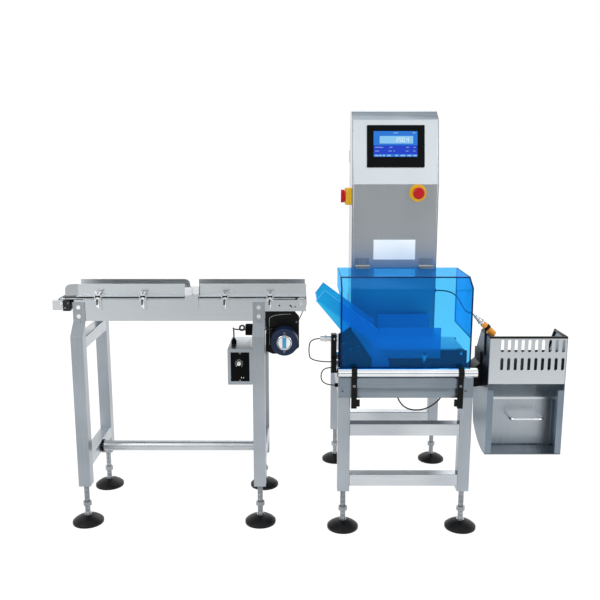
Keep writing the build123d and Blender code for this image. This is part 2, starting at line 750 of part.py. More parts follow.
# Single-point load cell with its foot and the post of the deck
with BuildPart() as load_cell:
    with Locations((POST_X - 130, POST_Y, CELL_Z)):
        Box(44, 44, 6, align=(Align.CENTER, Align.CENTER, Align.MIN))
    with Locations((POST_X - 65, POST_Y, CELL_Z + 6)):
        Box(170, 40, 34, align=(Align.CENTER, Align.CENTER, Align.MIN))
    with BuildSketch(Plane.XZ.offset(-POST_Y + 25)):
        with Locations((POST_X - 85, CELL_Z + 23), (POST_X - 45, CELL_Z + 23)):
            Circle(11)
        with Locations((POST_X - 65, CELL_Z + 23)):
            Rectangle(40, 6)
    extrude(amount=-50, mode=Mode.SUBTRACT)
    with Locations((POST_X, POST_Y, CELL_Z + 40)):
        Cylinder(16, 536 - CELL_Z - 40, align=(Align.CENTER, Align.CENTER, Align.MIN))

# Deck carriers: tube saddles joined by a cross plate, with hooked arms in front
with BuildPart() as rail_clamps:
    for saddle_x in SADDLES:
        with BuildSketch(Plane.YZ.offset(saddle_x - SADDLE_W / 2)):
            with Locations((RAIL_FRONT, RAIL_Z), (RAIL_REAR, RAIL_Z)):
                Circle(20)
            bar_back = DECK_Y + DECK_HALF + 2
            with Locations(((RAIL_FRONT + bar_back) / 2, (SADDLE_BOTTOM + DECK_Z) / 2)):
                Rectangle(bar_back - RAIL_FRONT, DECK_Z - SADDLE_BOTTOM)
            with Locations((RAIL_FRONT + 60, SADDLE_BOTTOM - 10)):
                Rectangle(120, 20, mode=Mode.SUBTRACT)
            with Locations((RAIL_REAR, SADDLE_BOTTOM - 10)):
                Rectangle(60, 20, mode=Mode.SUBTRACT)
            with Locations((RAIL_FRONT - 5, 486)):
                Rectangle(10, 108)
            with Locations((RAIL_FRONT, RAIL_Z), (RAIL_REAR, RAIL_Z)):
                Circle(RAIL_DIA / 2 + RUN_FIT, mode=Mode.SUBTRACT)
        extrude(amount=SADDLE_W)
    cross = SADDLES[1] - SADDLES[0] - SADDLE_W
    with Locations(((SADDLES[0] + SADDLES[1]) / 2, POST_Y, 536)):
        Box(cross, 90, 8, align=(Align.CENTER, Align.CENTER, Align.MIN))
    for saddle_x, inward in ((SADDLES[0], 1), (SADDLES[1], -1)):
        with Locations((saddle_x + inward * (SADDLE_W / 2 + 5), RAIL_FRONT - 6, 450)):
            Box(10, 8, 22)

with BuildPart() as rail_tubes:
    for tube_y in (RAIL_FRONT, RAIL_REAR):
        with BuildSketch(Plane.YZ.offset(104)):
            with Locations((tube_y, RAIL_Z)):
                Circle(RAIL_DIA / 2)
        extrude(amount=451)
        with BuildSketch(Plane.YZ.offset(108)):
            with Locations((tube_y, RAIL_Z)):
                Circle(RAIL_DIA / 2 - 2)
        extrude(amount=443, mode=Mode.SUBTRACT)

# Weigh conveyor
with BuildPart() as weigh_side_plates:
    for side in (-1, 1):
        with BuildSketch(Plane.XZ.offset(-(DECK_Y + side * (DECK_HALF - DECK_PLATE)))):
            with Locations(((DECK_L + DECK_R) / 2, (DECK_Z + DECK_TOP) / 2)):
                RectangleRounded(DECK_R - DECK_L, DECK_TOP - DECK_Z, 4)
            with Locations((WEIGH_TAIL, WEIGH_AXLE_Z), (WEIGH_DRIVE, WEIGH_AXLE_Z)):
                Circle(5 + RUN_FIT, mode=Mode.SUBTRACT)
        extrude(amount=-side * DECK_PLATE)

with BuildPart() as weigh_bed:
    bed_in = DECK_HALF - DECK_PLATE
    with BuildSketch(Plane.YZ.offset(WEIGH_TAIL + 13)):
        with Locations((DECK_Y, WEIGH_AXLE_Z + WEIGH_IN - 1.3)):
            Rectangle(2 * bed_in, 2)
        with Locations((DECK_Y - bed_in + 1, 599), (DECK_Y + bed_in - 1, 599)):
            Rectangle(2, 20)
    extrude(amount=WEIGH_DRIVE - WEIGH_TAIL - 26)

with BuildPart() as weigh_belt:
    with BuildSketch(Plane.XZ.offset(-DECK_Y)):
        with Locations(((WEIGH_TAIL + WEIGH_DRIVE) / 2, WEIGH_AXLE_Z)):
            SlotCenterToCenter(WEIGH_DRIVE - WEIGH_TAIL, 2 * WEIGH_OUT)
            SlotCenterToCenter(WEIGH_DRIVE - WEIGH_TAIL, 2 * WEIGH_IN, mode=Mode.SUBTRACT)
    extrude(amount=WEIGH_HALF, both=True)

with BuildPart() as weigh_drive_roller:
    with BuildSketch(Plane.XZ.offset(-DECK_Y)):
        with Locations((WEIGH_DRIVE, WEIGH_AXLE_Z)):
            Circle(WEIGH_ROLLER)
    extrude(amount=WEIGH_HALF, both=True)
    with BuildSketch(Plane.XZ.offset(-DECK_Y)):
        with Locations((WEIGH_DRIVE, WEIGH_AXLE_Z)):
            Circle(5)
    extrude(amount=DECK_HALF, both=True)

with BuildPart() as weigh_tail_roller:
    with BuildSketch(Plane.XZ.offset(-DECK_Y)):
        with Locations((WEIGH_TAIL, WEIGH_AXLE_Z)):
            Circle(WEIGH_ROLLER)
    extrude(amount=WEIGH_HALF, both=True)
    with BuildSketch(Plane.XZ.offset(-DECK_Y)):
        with Locations((WEIGH_TAIL, WEIGH_AXLE_Z)):
            Circle(5)
    extrude(amount=DECK_HALF, both=True)

with BuildPart() as weigh_guides:
    with BuildSketch(Plane.XZ.offset(-CHUTE_NEAR)):
        with Locations((344, 632.5)):
            Rectangle(205, 103)
    extrude(amount=-GUIDE_PLATE)
    with BuildSketch(Plane.XZ.offset(-(DECK_Y + DECK_HALF))):
        with Locations((347, 636)):
            Rectangle(183, 110)
    extrude(amount=-GUIDE_PLATE)

# Chute: a sloped trough whose near wall runs on into a gusset and a foot
CHUTE_END = 240.0
TILT = math.radians(SLOPE)
WALL_DX = CHUTE_WALL * math.sin(TILT)
WALL_DZ = CHUTE_WALL * math.cos(TILT)
chute_low = CHUTE_Z - (CHUTE_END - CHUTE_X) * math.tan(TILT)
wall_top = CHUTE_Z + WALL_DZ - (CHUTE_END - CHUTE_X - WALL_DX) * math.tan(TILT)
FOOT_L = 219.0
FOOT_R = 276.5
FLOOR_V = CHUTE_T / math.cos(TILT)
with BuildPart() as chute_trough:
    with BuildSketch(Plane.XZ.offset(-CHUTE_NEAR)):
        with BuildLine():
            Polyline(
                (CHUTE_X, CHUTE_Z),
                (CHUTE_X + WALL_DX, CHUTE_Z + WALL_DZ),
                (CHUTE_END, wall_top),
                (CHUTE_END, 630),
                (FOOT_R, 571),
                (FOOT_R, DECK_Z),
                (FOOT_L, DECK_Z),
                (FOOT_L, 580),
                (154.6, 674),
                (147.6, 693),
                (119.8, 671),
                close=True,
            )
        make_face()
    extrude(amount=CHUTE_T)
    far_in = CHUTE_FAR - CHUTE_T
    with BuildSketch(Plane.XZ.offset(-far_in)):
        with BuildLine():
            Polyline(
                (CHUTE_X, CHUTE_Z),
                (CHUTE_X + WALL_DX, CHUTE_Z + WALL_DZ),
                (CHUTE_END, wall_top),
                (CHUTE_END, chute_low),
                close=True,
            )
        make_face()
    extrude(amount=-CHUTE_T)
    with BuildSketch(Plane.XZ.offset(-CHUTE_NEAR)):
        with BuildLine():
            Polyline(
                (CHUTE_X, CHUTE_Z),
                (CHUTE_X + 3, CHUTE_Z - 3 * math.tan(TILT) + FLOOR_V),
                (CHUTE_END, chute_low + FLOOR_V),
                (CHUTE_END, chute_low),
                close=True,
            )
        make_face()
    extrude(amount=CHUTE_NEAR - far_in)

# Brackets: chute plate, sensor post, bin bridge and sensor clip
EYE_Y = -272.5
eye_top = Vector(557, EYE_Y, 724)
eye_dir = Vector(59, 0, -56).normalized()
clip_at = eye_top + eye_dir * 46
BARREL_Y = -242.0
BARREL_Z = 647.0
BARREL_R = 9.0
with BuildPart() as support_brackets:
    with BuildSketch(Plane.XZ.offset(-CHUTE_NEAR)):
        with BuildLine():
            Polyline(
                (107, DECK_Z),
                (107, 664),
                (147.6, CHUTE_Z - (147.6 - CHUTE_X) * math.tan(TILT) - SEAT),
                (214, CHUTE_Z - (214 - CHUTE_X) * math.tan(TILT) - SEAT),
                (214, DECK_Z),
                close=True,
            )
        make_face()
    extrude(amount=-GUIDE_PLATE)
    with BuildSketch(Plane.YZ.offset(83)):
        with Locations((BARREL_Y, (HOUSE_TOP + 664) / 2)):
            Rectangle(24, 664 - HOUSE_TOP)
        with Locations((BARREL_Y, BARREL_Z)):
            Circle(BARREL_R + RUN_FIT, mode=Mode.SUBTRACT)
    extrude(amount=18)
    with Locations((101, BARREL_Y, HOUSE_TOP)):
        Box(36, 24, 6, align=(Align.MIN, Align.CENTER, Align.MIN))
    with Locations((90, BARREL_Y - 20, 565)):
        Box(14, 16, 40)
    with BuildSketch(Plane.XZ.offset(152)):
        with BuildLine():
            Polyline(
                (HOUSE_R, 475),
                (HOUSE_R, 528),
                (BIN_L - 5, 560),
                (BIN_L - 5, 600),
                (BIN_L, 600),
                (BIN_L, 480),
                (BIN_L - 5, 480),
                (HOUSE_R + 5, 475),
                close=True,
            )
        make_face()
    extrude(amount=80)
    with BuildSketch(Plane(origin=clip_at - eye_dir * 5, z_dir=eye_dir)):
        Circle(12)
        Circle(8 + RUN_FIT, mode=Mode.SUBTRACT)
    extrude(amount=10)
    with BuildSketch(Plane.XZ.offset(-EYE_Y - 4)):
        with BuildLine():
            Polyline(
                (BIN_L - 4, 600),
                (BIN_L, 600),
                (BIN_L, 676),
                (BIN_L + 3, clip_at.Z - 9.5),
                (BIN_L - 4, clip_at.Z - 6),
                close=True,
            )
        make_face()
    extrude(amount=8)
    with BuildSketch(Plane(origin=clip_at - eye_dir * 12, z_dir=eye_dir)):
        Circle(8 + RUN_FIT)
    extrude(amount=24, mode=Mode.SUBTRACT)

hood_profile = (
    (HOOD_FRONT, HOOD_BOTTOM),
    (HOOD_FRONT, HOOD_BEND),
    (HOOD_FACET, HOOD_TOP),
    (HOOD_BACK, HOOD_TOP),
)
with BuildPart() as hood:
    with BuildSketch(Plane.YZ.offset(HOOD_L)) as shell:
        with BuildLine():
            Polyline(*hood_profile, (HOOD_BACK, HOOD_BOTTOM), close=True)
        make_face()
        with BuildLine():
            Polyline(
                (HOOD_FRONT + HOOD_T, HOOD_BOTTOM),
                (HOOD_FRONT + HOOD_T, HOOD_BEND - 2.5),
                (HOOD_FACET + 1, HOOD_TOP - HOOD_T),
                (HOOD_BACK, HOOD_TOP - HOOD_T),
                (HOOD_BACK, HOOD_BOTTOM),
                close=True,
            )
        make_face(mode=Mode.SUBTRACT)
    extrude(amount=HOOD_R - HOOD_L)
    with BuildSketch(Plane.YZ.offset(HOOD_L)):
        with BuildLine():
            Polyline(*hood_profile, (HOOD_BACK, HOOD_BOTTOM), close=True)
        make_face()
        with Locations(((ARCH_Y + HOOD_BACK) / 2, (ARCH_Z + HOOD_BOTTOM) / 2)):
            Rectangle(HOOD_BACK - ARCH_Y, ARCH_Z - HOOD_BOTTOM, mode=Mode.SUBTRACT)
    extrude(amount=HOOD_T)
    with BuildSketch(Plane.YZ.offset(HOOD_R - HOOD_T)):
        with BuildLine():
            Polyline(
                (HOOD_FRONT, EXIT_Z),
                (HOOD_FRONT, HOOD_BEND),
                (HOOD_FACET, HOOD_TOP),
                (HOOD_BACK, HOOD_TOP),
                (HOOD_BACK, EXIT_Z),
                close=True,
            )
        make_face()
    extrude(amount=HOOD_T)

# Hood hinges: fixed leaves with the outer knuckles and pin, moving leaves with the middle one
KNUCKLE = 4.5
with BuildPart() as hood_hinges:
    for leaf_x in LEAVES:
        with Locations((leaf_x, CAB_FRONT - 1.25, PIVOT_Z + 12)):
            Box(50, 2.5, 34)
        with Locations((leaf_x, CAB_FRONT - 1.25, PIVOT_Z - 0.5)):
            Box(18, 2.5, 12, mode=Mode.SUBTRACT)
        for part_x in (leaf_x - 25, leaf_x + 9):
            with BuildSketch(Plane.YZ.offset(part_x)):
                with Locations((PIVOT_Y, PIVOT_Z)):
                    Circle(KNUCKLE)
            extrude(amount=16)
        with BuildSketch(Plane.YZ.offset(leaf_x - 25)):
            with Locations((PIVOT_Y, PIVOT_Z)):
                Circle(2)
        extrude(amount=50)

with BuildPart() as hood_leaves:
    for leaf_x in LEAVES:
        with Locations((leaf_x, PIVOT_Y - 17, HOOD_TOP + 1)):
            Box(50, 26, 2)
        with Locations((leaf_x, PIVOT_Y - 3.5, HOOD_TOP + 1)):
            Box(17, 7, 2)
        with BuildSketch(Plane.YZ.offset(leaf_x - 8.5)):
            with Locations((PIVOT_Y, PIVOT_Z)):
                Circle(KNUCKLE)
        extrude(amount=17)
        with BuildSketch(Plane.YZ.offset(leaf_x - 9)):
            with Locations((PIVOT_Y, PIVOT_Z)):
                Circle(2 + RUN_FIT)
        extrude(amount=18, mode=Mode.SUBTRACT)

# Sensors
with BuildPart() as barrel_sensors:
    with BuildSketch(Plane.YZ.offset(47)):
        with Locations((BARREL_Y, BARREL_Z)):
            Circle(BARREL_R)
    extrude(amount=56)
    with BuildSketch(Plane(origin=eye_top + eye_dir * 6, z_dir=eye_dir)):
        Circle(8)
    extrude(amount=76)
    with BuildSketch(Plane(origin=eye_top - eye_dir * 8, z_dir=eye_dir)):
        Circle(6)
    extrude(amount=16)
    elbow = eye_top - eye_dir * 4
    with BuildSketch(Plane.XZ.offset(-EYE_Y)):
        with Locations((elbow.X, elbow.Z)):
            Circle(5)
    extrude(amount=-15)

# Cabinet
CAB_SIDE = (
    (CAB_FRONT, HOUSE_TOP),
    (CAB_FRONT, KNEE_Z),
    (BROW_Y, BROW_Z),
    (CREST_Y, CREST_Z),
    (CREST_Y + 5, CAB_TOP),
    (CAB_BACK, CAB_TOP),
    (CAB_BACK, HOUSE_TOP),
)
DOOR_L = 172.0
DOOR_R = 454.0
DOOR_BOTTOM = 556.0
DOOR_TOP = 1376.0
tilt_rad = math.radians(PANEL_TILT)
screen_plane = Plane(
    origin=(CAB_MID, SCREEN_Y, SCREEN_Z),
    x_dir=(1, 0, 0),
    z_dir=(0, -math.cos(tilt_rad), math.sin(tilt_rad)),
)
with BuildPart() as cabinet:
    with BuildSketch(Plane.YZ.offset(CAB_L)):
        with BuildLine():
            Polyline(*CAB_SIDE, close=True)
        make_face()
    extrude(amount=CAB_R - CAB_L)
    with BuildSketch(Plane.YZ.offset(CAB_L + CAB_WALL)):
        with BuildLine():
            Polyline(*CAB_SIDE, close=True)
        make_face()
        offset(amount=-CAB_WALL, kind=Kind.INTERSECTION, mode=Mode.REPLACE)
    extrude(amount=CAB_R - CAB_L - 2 * CAB_WALL, mode=Mode.SUBTRACT)
    door_mid = ((DOOR_L + DOOR_R) / 2, (DOOR_BOTTOM + DOOR_TOP) / 2)
    with BuildSketch(Plane.XZ.offset(-CAB_BACK)):
        with Locations(door_mid):
            Rectangle(DOOR_R - DOOR_L - 24, DOOR_TOP - DOOR_BOTTOM - 24)
    extrude(amount=CAB_WALL, mode=Mode.SUBTRACT)
    with BuildSketch(screen_plane):
        Rectangle(182, 128)
    extrude(amount=-4, mode=Mode.SUBTRACT)
    for pin_z in (700.0, 1230.0):
        with Locations((CAB_L + 3, CAB_BACK + 2.5, pin_z)):
            Box(6, 5, 24)
        with BuildSketch(Plane.XY.offset(pin_z - 12)):
            with Locations((CAB_L + 3, CAB_BACK + 5)):
                Circle(5)
        extrude(amount=24)
        with BuildSketch(Plane.XY.offset(pin_z + 12)):
            with Locations((CAB_L + 3, CAB_BACK + 5)):
                Circle(2.5)
        extrude(amount=20)

with BuildPart() as cabinet_door:
    with BuildSketch(Plane.XZ.offset(-CAB_BACK)):
        with Locations(door_mid):
            RectangleRounded(DOOR_R - DOOR_L, DOOR_TOP - DOOR_BOTTOM, 4)
    extrude(amount=-2)
    with BuildSketch(Plane.XZ.offset(-CAB_BACK - 2)):
        with Locations((DOOR_R - 22, 966)):
            Circle(11)
    extrude(amount=-6)
    for pin_z in (700.0, 1230.0):
        with BuildSketch(Plane.XY.offset(pin_z + 12.2)):
            with Locations((CAB_L + 3, CAB_BACK + 5)):
                Circle(5)
            with Locations((CAB_L + 8, CAB_BACK + 3.5)):
                Rectangle(10, 3)
        extrude(amount=20)
        with BuildSketch(Plane.XY.offset(pin_z + 12)):
            with Locations((CAB_L + 3, CAB_BACK + 5)):
                Circle(2.5 + RUN_FIT)
        extrude(amount=21, mode=Mode.SUBTRACT)

MOUNT_Y = CAB_FRONT + CAB_WALL + 8
with BuildPart() as cabinet_modules:
    with Locations((CAB_MID, MOUNT_Y, 860)):
        Box(260, 2, 500, align=(Align.CENTER, Align.MIN, Align.CENTER))
    with Locations(*[(x, MOUNT_Y - 4, z) for x in (200, 424) for z in (640, 1080)]):
        Box(14, 8, 14)
    with Locations((220, MOUNT_Y + 2, 1000)):
        Box(60, 78, 130, align=(Align.CENTER, Align.MIN, Align.CENTER))
    with Locations((330, MOUNT_Y + 2, 1000)):
        Box(110, 60, 110, align=(Align.CENTER, Align.MIN, Align.CENTER))
    with Locations((235, MOUNT_Y + 2, 800)):
        Box(80, 84, 150, align=(Align.CENTER, Align.MIN, Align.CENTER))
    with Locations((350, MOUNT_Y + 2, 800)):
        Box(90, 50, 120, align=(Align.CENTER, Align.MIN, Align.CENTER))
    with Locations((CAB_MID, MOUNT_Y + 2, 660)):
        Box(220, 38, 46, align=(Align.CENTER, Align.MIN, Align.CENTER))

with BuildPart() as touch_panel:
    with BuildSketch(screen_plane):
        RectangleRounded(200, 146, 3)
    extrude(amount=6)
    with BuildSketch(screen_plane):
        Rectangle(180, 126)
    extrude(amount=-32)
    with BuildSketch(screen_plane.offset(5)):
        with Locations((-1, 7.5)):
            Rectangle(153, 90)
    extrude(amount=1, mode=Mode.SUBTRACT)

with BuildPart() as switch_bases:
    with BuildSketch(Plane.XZ.offset(-CAB_FRONT)):
        with Locations((STOP_X, STOP_Z)):
            Circle(30)
    extrude(amount=4)
    with BuildSketch(Plane.XZ.offset(-CAB_FRONT + 4)):
        with Locations((STOP_X, STOP_Z)):
            Circle(15)
    extrude(amount=8)
    with BuildSketch(Plane.XZ.offset(-CAB_FRONT + 12)):
        with Locations((STOP_X, STOP_Z)):
            Circle(8 + RUN_FIT)
    extrude(amount=-12, mode=Mode.SUBTRACT)
    with BuildSketch(Plane.YZ.offset(CAB_L)):
        with Locations((ISO_Y, ISO_Z)):
            RectangleRounded(60, 60, 4)
    extrude(amount=-20)
    with BuildSketch(Plane.YZ.offset(CAB_L - 20)):
        with Locations((ISO_Y, ISO_Z)):
            Circle(6 + RUN_FIT)
    extrude(amount=16, mode=Mode.SUBTRACT)

with BuildPart() as estop_button:
    with BuildSketch(Plane.XZ.offset(-CAB_FRONT + 17)):
        with Locations((STOP_X, STOP_Z)):
            Circle(20)
    extrude(amount=13)
    fillet(estop_button.faces().sort_by(Axis.Y)[0].edges(), radius=7)
    with BuildSketch(Plane.XZ.offset(-CAB_FRONT + 17)):
        with Locations((STOP_X, STOP_Z)):
            Circle(8)
    extrude(amount=-12)

with BuildPart() as isolator_handle:
    with BuildSketch(Plane.YZ.offset(CAB_L - 20.2)):
        with Locations((ISO_Y, ISO_Z)):
            Circle(21)
    extrude(amount=-5)
    with BuildSketch(Plane.YZ.offset(CAB_L - 25.2)):
        with Locations((ISO_Y, ISO_Z)):
            SlotOverall(46, 13, rotation=90)
    extrude(amount=-11)
    with BuildSketch(Plane.YZ.offset(CAB_L - 20.2)):
        with Locations((ISO_Y, ISO_Z)):
            Circle(6)
    extrude(amount=14)

# Reject bin
SHEET_TOP = BIN_TOP - TRIM
BACK_Z = 585.0
with BuildPart() as bin_sides:
    for wall_x in (BIN_L, BIN_R - BIN_T):
        with BuildSketch(Plane.YZ.offset(wall_x)):
            with BuildLine():
                Polyline((-328.5, 275), (-328.5, SHEET_TOP), (-216, SHEET_TOP - 3), (-151.5, BACK_Z))
                ThreePointArc((-151.5, BACK_Z), (-129.5, 455), (-152, 327))
                ThreePointArc((-152, 327), (-222, 287), (-328.5, 275))
            make_face()
        extrude(amount=BIN_T)
    for edge_x, inward in ((BIN_L + BIN_T, 1), (BIN_R - BIN_T, -1)):
        with Locations((edge_x + inward * 9, BIN_FRONT + 1, (279 + 495) / 2)):
            Box(18, 2, 216)
        with Locations((edge_x + inward * 17, BIN_FRONT + 9, (279 + 495) / 2)):
            Box(2, 14, 216)
        for rail_y in (POCKET_Y + 0.6, POCKET_Y + 6.2):
            with Locations((edge_x + inward * 5, rail_y, (GATE_Z + 440) / 2)):
                Box(10, 3, 440 - GATE_Z)

with BuildPart() as bin_back:
    with BuildSketch(Plane.YZ.offset(BIN_L + BIN_T)):
        with BuildLine():
            Polyline((-328.5, 275), (-328.5, SHEET_TOP), (-216, SHEET_TOP - 3), (-151.5, BACK_Z))
            ThreePointArc((-151.5, BACK_Z), (-129.5, 455), (-152, 327))
            ThreePointArc((-152, 327), (-222, 287), (-328.5, 275))
        make_face()
    extrude(amount=BIN_R - BIN_L - 2 * BIN_T)
    with BuildSketch(Plane.YZ.offset(BIN_L)):
        with BuildLine():
            Polyline((-340, 277), (-340, 720), (-216, 720), (-153.5, BACK_Z + 2))
            ThreePointArc((-153.5, BACK_Z + 2), (-131.5, 455), (-153.7, 328.5))
            ThreePointArc((-153.7, 328.5), (-222.6, 288.9), (-328.5, 277))
            Line((-328.5, 277), (-340, 277))
        make_face()
    extrude(amount=BIN_R - BIN_L, mode=Mode.SUBTRACT)
    with Locations(((BIN_L + BIN_R) / 2, -250, BACK_Z + 60)):
        Box(BIN_R - BIN_L, 260, 120, mode=Mode.SUBTRACT)

SLOT_PITCH = BIN_WIDE * 0.0872
SLOT_X = (BIN_L + BIN_R) / 2 + 15
with BuildPart() as bin_front_panel:
    with BuildSketch(Plane.YZ.offset(BIN_L + BIN_T)):
        with BuildLine():
            Polyline(
                (BIN_FRONT, SHEET_TOP),
                (BIN_FRONT, CREASE_Z),
                (POCKET_Y, 449),
                (POCKET_Y, 441),
                (POCKET_Y + BIN_T, 441),
                (POCKET_Y + BIN_T, 449.9),
                (BIN_FRONT + BIN_T, CREASE_Z + 0.9),
                (BIN_FRONT + BIN_T, SHEET_TOP),
                close=True,
            )
        make_face()
    extrude(amount=BIN_R - BIN_L - 2 * BIN_T)
    with BuildSketch(Plane.XZ.offset(-BIN_FRONT)):
        for row_z in (583.0, 643.0):
            with Locations((SLOT_X, row_z)):
                with GridLocations(SLOT_PITCH, 1, 10, 1):
                    SlotOverall(42, 10, rotation=90)
    extrude(amount=-BIN_T, mode=Mode.SUBTRACT)

GRIP_X = (BIN_L + BIN_R) / 2 + 14
GRIP_HALF = BIN_WIDE * 0.214
with BuildPart() as bin_gate:
    gate_y = POCKET_Y + BIN_T + 0.4
    with Locations(((BIN_L + BIN_R) / 2, gate_y + 1, (GATE_Z + GATE_TOP) / 2)):
        Box(BIN_R - BIN_L - 6, 2, GATE_TOP - GATE_Z)
    with BuildLine() as grip:
        FilletPolyline(
            (GRIP_X - GRIP_HALF, gate_y + 1, 392),
            (GRIP_X - GRIP_HALF, gate_y - 62, 392),
            (GRIP_X + GRIP_HALF, gate_y - 62, 392),
            (GRIP_X + GRIP_HALF, gate_y + 1, 392),
            radius=14,
        )
    with BuildSketch(Plane(origin=grip.line @ 0, z_dir=grip.line % 0)):
        Circle(4)
    sweep(path=grip.line)

with BuildPart() as bin_edge_trim:
    for wall_x in (BIN_L, BIN_R - BIN_T - 2):
        with BuildSketch(Plane.YZ.offset(wall_x)):
            with BuildLine():
                Polyline(
                    (BIN_FRONT + BIN_T, SHEET_TOP),
                    (BIN_FRONT + BIN_T, BIN_TOP),
                    (-214, BIN_TOP - 3),
                    (-147.5, BACK_Z + 2.5),
                    (-151.5, BACK_Z),
                    (-216, SHEET_TOP - 3),
                    close=True,
                )
            make_face()
        extrude(amount=BIN_T + 2)
    with Locations(((BIN_L + BIN_R) / 2, BIN_FRONT + 2, SHEET_TOP)):
        Box(BIN_R - BIN_L, 4, TRIM, align=(Align.CENTER, Align.CENTER, Align.MIN))

# Screws and wing screws
with BuildPart() as fasteners:
    for side in (-1, 1):
        with BuildSketch(Plane.XZ.offset(-(LINE_Y + side * CONV_INNER))):
            with Locations(*[(x, z) for x in (STAND_LEFT, STAND_RIGHT) for z in LEG_BOLTS]):
                Circle(4)
        extrude(amount=-side * 2 * PLATE)
        with BuildSketch(Plane.XZ.offset(-(LINE_Y + side * (CONV_HALF + PLATE)))):
            with Locations(*[(x, z) for x in (STAND_LEFT, STAND_RIGHT) for z in LEG_BOLTS]):
                Circle(7)
            with Locations(*[(x, 755.0) for x in CLAMPS]):
                Circle(5)
        extrude(amount=-side * 4)
    for screw_y, tail_z in ((FRONT_SCREW, GUIDE_Z - TAB_T - 4), (REAR_SCREW, GUIDE_Z - TAB_T)):
        for clamp_x in CLAMPS:
            with Locations((clamp_x, screw_y, tail_z)):
                Cylinder(SCREW_R, 796 - tail_z, align=(Align.CENTER, Align.CENTER, Align.MIN))
            with Locations((clamp_x, screw_y, GUIDE_Z + GUIDE_T)):
                Cylinder(6, 5, align=(Align.CENTER, Align.CENTER, Align.MIN))
            with BuildSketch(Plane.XZ.offset(-screw_y)):
                with BuildLine():
                    Polyline(
                        (clamp_x - 4, 792),
                        (clamp_x + 4, 792),
                        (clamp_x + 12, 803),
                        (clamp_x + 7, 803),
                        (clamp_x, 796),
                        (clamp_x - 7, 803),
                        (clamp_x - 12, 803),
                        close=True,
                    )
                make_face()
            extrude(amount=1.25, both=True)

# Cords: each bend is as wide as its runs allow
def bends(points):
    radii = []
    for before, at, after in zip(points, points[1:], points[2:]):
        run_in = Vector(*at) - Vector(*before)
        run_out = Vector(*after) - Vector(*at)
        half = math.radians(run_in.get_angle(run_out)) / 2
        radii.append(0.45 * min(run_in.length, run_out.length) / math.tan(half))
    return radii


LEAD = 5.0
THIN_LEAD = 4.0
box_lead = (
    (GLAND_X, GLAND_Y, BOX_Z + BOX_H / 2 + 18),
    (GLAND_X, GLAND_Y, PLUG_Z),
    (GLAND_X, PLUG_Y - 3, PLUG_Z),
    (PLUG_X - 12, PLUG_Y - 3, PLUG_Z),
)
with BuildPart() as motor_cable:
    with BuildLine() as box_run:
        FilletPolyline(*box_lead, radius=bends(box_lead))
    with BuildSketch(Plane(origin=box_run.line @ 0, z_dir=box_run.line % 0)):
        Circle(LEAD / 2)
    sweep(path=box_run.line)
    with BuildSketch(Plane.YZ.offset(BOX_R)):
        with Locations((TUNNEL_Y, PLUG_Z)):
            Circle(LEAD / 2)
    extrude(amount=MOTOR_X - 43 - BOX_R)

sensor_lead = (
    (47, BARREL_Y, BARREL_Z),
    (15, BARREL_Y, BARREL_Z),
    (8, -252, 610),
    (15, -262, 573),
    (83, -262, 573),
)
trunk_lead = (
    (83, -262, 553),
    (50, -262, 553),
    (50, -262, 493),
    (95, -262, 493),
)
with BuildPart() as sensor_cables:
    for lead_points in (sensor_lead, trunk_lead):
        with BuildLine() as sensor_run:
            FilletPolyline(*lead_points, radius=bends(lead_points))
        with BuildSketch(Plane(origin=sensor_run.line @ 0, z_dir=sensor_run.line % 0)):
            Circle(THIN_LEAD / 2)
        sweep(path=sensor_run.line)

cell_lead = (
    (300, -200, 497),
    (300, -240, 497),
    (303, -250, 455),
    (318, -270, 426),
    (345, -284, 414),
    (380, -287, 414),
    (415, -280, 424),
    (450, -262, 446),
    (470, -246, 485),
    (470, -246, 529.4),
)
with BuildPart() as cell_cable:
    with BuildLine() as cell_run:
        FilletPolyline(*cell_lead, radius=bends(cell_lead))
    with BuildSketch(Plane(origin=cell_run.line @ 0, z_dir=cell_run.line % 0)):
        Circle(LEAD / 2)
    sweep(path=cell_run.line)

bin_lead = (
    (elbow.X, EYE_Y + 15, elbow.Z),
    (elbow.X, -205, elbow.Z),
    (549, -150, 719),
    (549, -95, 724),
    (548, -42, 738),
    (538, 8, 754),
    (510, 37.5, 760),
    (476, 37.5, 760),
)
with BuildPart() as bin_sensor_cable:
    with BuildLine() as bin_run:
        FilletPolyline(*bin_lead, radius=bends(bin_lead))
    with BuildSketch(Plane(origin=bin_run.line @ 0, z_dir=bin_run.line % 0)):
        Circle(LEAD / 2)
    sweep(path=bin_run.line)

for label, route in (
    ("motor", box_lead),
    ("sensor", sensor_lead),
    ("trunk", trunk_lead),
    ("cell", cell_lead),
    ("bin", bin_lead),
):
    print("bend radii", label, [round(r, 1) for r in bends(route)])

